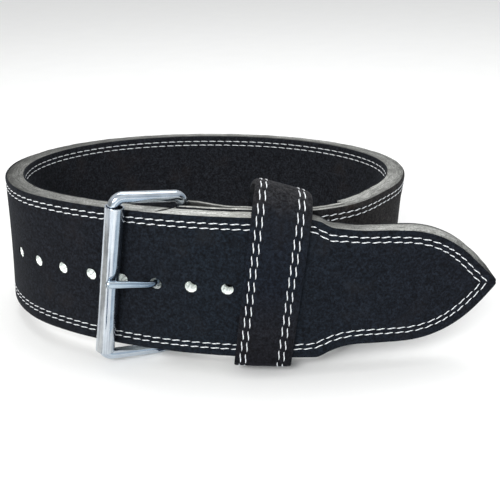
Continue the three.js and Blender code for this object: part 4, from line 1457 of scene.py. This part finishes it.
class BELT_OT_studio(bpy.types.Operator):
    """Sets the pale floor, the soft lights and the camera"""

    bl_idname = "belt.studio"
    bl_label = "Studio"

    # The camera in the belt's own frame: its place, its pitch and roll, and its lens
    camera_place = (36.0 * MM, -442.05 * MM, 253.1 * MM)
    camera_pitch = 21.36
    camera_roll = 0.14
    camera_lens = 52.5

    # Soft boxes: name, place, target, width, height, power in watts
    boxes = (
        ("soft_box_key", (-0.45, -1.3, 0.95), (0.0, -0.1, 0.06), 0.7, 0.5, 17.0),
        ("soft_box_above", (0.1, 0.35, 1.5), (0.0, 0.0, 0.05), 1.4, 0.9, 10.0),
    )
    floor_half = 25.0

    # Cards on the floor that only the steel mirrors: name, turns in degrees to the right of
    # the camera, start and end in metres from the roller, and their colour
    cards_centre = (-0.082, -0.112, 0.002)
    cards_facing = math.atan2(-0.975, 0.223)
    cards = (
        ("card_dark_middle", -28, -15, 0.055, 0.26, (0.11, 0.15, 0.22)),
        ("card_cool_right", 18, 80, 0.03, 0.38, (0.66, 0.76, 0.84)),
        ("card_dark_right", 81, 104, 0.03, 0.38, (0.03, 0.04, 0.07)),
        ("card_warm_beyond", -110, -46, 0.38, 0.90, (0.44, 0.42, 0.39)),
        ("card_warm_far", -110, -46, 0.11, 0.38, (0.55, 0.53, 0.49)),
        ("card_warm_near", -110, -52, 0.03, 0.11, (0.87, 0.84, 0.79)),
    )
    # The pale wall far off that only the camera sees: its distance, height and light, which
    # is what the floor gives at its far end
    wall_distance = 12.0
    wall_height = 7.0
    wall_light = (0.672, 0.679, 0.676)

    # The room's light round the horizon, as (turn from the back, red, green, blue)
    horizon = (
        (0.00, 0.85, 0.87, 0.90),
        (0.20, 0.50, 0.50, 0.48),
        (0.38, 0.42, 0.42, 0.40),
        (0.44, 0.80, 0.86, 0.92),
        (0.50, 1.00, 1.08, 1.15),
        (0.60, 0.95, 1.02, 1.08),
        (0.68, 0.50, 0.56, 0.62),
        (0.80, 0.42, 0.48, 0.55),
        (1.00, 0.85, 0.87, 0.90),
    )

    def execute(self, context):
        scene = context.scene
        floor = mesh_object(
            "studio_floor",
            self.floor_half * np.array([[-1, -1, 0], [1, -1, 0], [1, 1, 0], [-1, 1, 0]], dtype=float),
            [[0, 1, 2, 3]],
            [[0, 0], [1, 0], [1, 1], [0, 1]],
            shared_material(painted_floor, scene.belt_colours),
        )
        self.backdrop()
        self.reflection_cards()
        for name, place, target, width, height, power in self.boxes:
            light = bpy.data.lights.new(name, "AREA")
            light.shape = "RECTANGLE"
            light.size, light.size_y, light.energy = width, height, power
            lamp = bpy.data.objects.new(name, light)
            lamp.location = place
            lamp.rotation_euler = (Vector(target) - Vector(place)).to_track_quat("-Z", "Y").to_euler()
            scene.collection.objects.link(lamp)
        scene.world = self.room()
        scene.view_settings.view_transform = "Standard"
        self.camera(scene)
        return {"FINISHED"}

    @staticmethod
    def glowing_band(name, centre, turn, edges, light):
        """A band round a centre that only glows, between two edges of (distance, height)."""
        points = [(r * math.cos(t), r * math.sin(t), height) for t in turn for r, height in edges]
        faces = [[2 * k, 2 * k + 1, 2 * k + 3, 2 * k + 2] for k in range(len(turn) - 1)]
        material, _, shader = new_material(name)
        shader.inputs["Base Color"].default_value = (0, 0, 0, 1)
        shader.inputs["Specular IOR Level"].default_value = 0.0
        shader.inputs["Emission Color"].default_value = (*light, 1)
        shader.inputs["Emission Strength"].default_value = 1.0
        band = mesh_object(name, np.array(points) + centre, faces, np.zeros((4 * len(faces), 2)), material)
        band.visible_diffuse = band.visible_shadow = False
        return band

    def backdrop(self):
        """A pale wall behind everything, so that the floor's far end doesn't show as a line."""
        turn = np.linspace(0, 2 * math.pi, 97)
        edges = ((self.wall_distance, 0.0), (self.wall_distance, self.wall_height))
        wall = self.glowing_band("pale_wall", (0.0, 0.0, 0.0), turn, edges, self.wall_light)
        wall.visible_glossy = wall.visible_transmission = False

    def reflection_cards(self):
        """Dark and tinted cards that give the steel its streaks, as the photographer's gear does."""
        for name, start, end, near, far, light in self.cards:
            turn = self.cards_facing + np.radians(np.linspace(start, end, 24))
            card = self.glowing_band(name, self.cards_centre, turn, ((near, 0.0), (far, 0.0)), light)
            card.visible_camera = False

    def room(self):
        """A pale room: white overhead, and light and dark panels round the horizon."""
        world = bpy.data.worlds.new("studio_room")
        world.use_nodes = True
        tree = world.node_tree
        way = add_node(tree, "ShaderNodeTexCoord").outputs["Generated"]
        parts = add_node(tree, "ShaderNodeSeparateXYZ", Vector=way).outputs
        angle = add_node(tree, "ShaderNodeMath", {"operation": "ARCTAN2"}, i0=parts["X"], i1=parts["Y"])
        back = add_node(
            tree, "ShaderNodeMath", {"operation": "MULTIPLY_ADD"}, i0=angle.outputs[0], i1=0.5 / math.pi, i2=0.5
        )
        turn = add_node(tree, "ShaderNodeMath", {"operation": "SUBTRACT"}, i0=1.5, i1=back.outputs[0])
        turn = add_node(tree, "ShaderNodeMath", {"operation": "FRACT"}, i0=turn.outputs[0])
        stops = [(place, (*light, 1.0)) for place, *light in self.horizon]
        panels = ramp(tree, turn.outputs[0], stops)
        height = ramp(tree, parts["Z"], [(0.30, (0, 0, 0, 1)), (0.62, (1, 1, 1, 1))])
        light = mixed(tree, height, panels, (1.0, 1.0, 1.0, 1.0))
        background = tree.nodes["Background"]
        tree.links.new(light, background.inputs["Color"])
        background.inputs["Strength"].default_value = 0.8
        return world

    def camera(self, scene):
        data = bpy.data.cameras.new("camera")
        data.sensor_width = 36.0
        data.lens = self.camera_lens
        data.clip_start = 0.01
        eye = bpy.data.objects.new("camera", data)
        tilt = Matrix.Rotation(math.radians(90 - self.camera_pitch), 4, "X")
        roll = Matrix.Rotation(math.radians(self.camera_roll), 4, "Z")
        eye.matrix_world = belt_to_ground() @ Matrix.Translation(self.camera_place) @ tilt @ roll
        scene.collection.objects.link(eye)
        scene.camera = eye


class BELT_PT_workshop(bpy.types.Panel):
    """The belt's pieces and the studio, in the order that they are made"""

    bl_label = "Weightlifting Belt"
    bl_idname = "BELT_PT_workshop"
    bl_space_type = "VIEW_3D"
    bl_region_type = "UI"
    bl_category = "Belt"

    def draw(self, context):
        for operator in OPERATORS:
            self.layout.operator(operator.bl_idname)
        for name in GROUPS:
            box = self.layout.box()
            group = getattr(context.scene, name)
            for key in group.bl_rna.properties.keys():
                if key not in {"rna_type", "name"}:
                    box.prop(group, key)


GROUPS = {
    "belt_strap": BELT_PG_strap,
    "belt_buckle": BELT_PG_buckle,
    "belt_keeper": BELT_PG_keeper,
    "belt_sewing": BELT_PG_sewing,
    "belt_colours": BELT_PG_colours,
}
OPERATORS = (
    BELT_OT_strap,
    BELT_OT_fold,
    BELT_OT_stitches,
    BELT_OT_keeper,
    BELT_OT_buckle,
    BELT_OT_studio,
)


def register():
    for made in (*GROUPS.values(), *OPERATORS, BELT_PT_workshop):
        bpy.utils.register_class(made)
    for name, group in GROUPS.items():
        setattr(bpy.types.Scene, name, PointerProperty(type=group))


def unregister():
    for name in GROUPS:
        delattr(bpy.types.Scene, name)
    for made in reversed((*GROUPS.values(), *OPERATORS, BELT_PT_workshop)):
        bpy.utils.unregister_class(made)


def main():
    register()
    for operator in OPERATORS:
        getattr(bpy.ops.belt, operator.bl_idname.split(".")[1])()


if __name__ == "__main__":
    main()
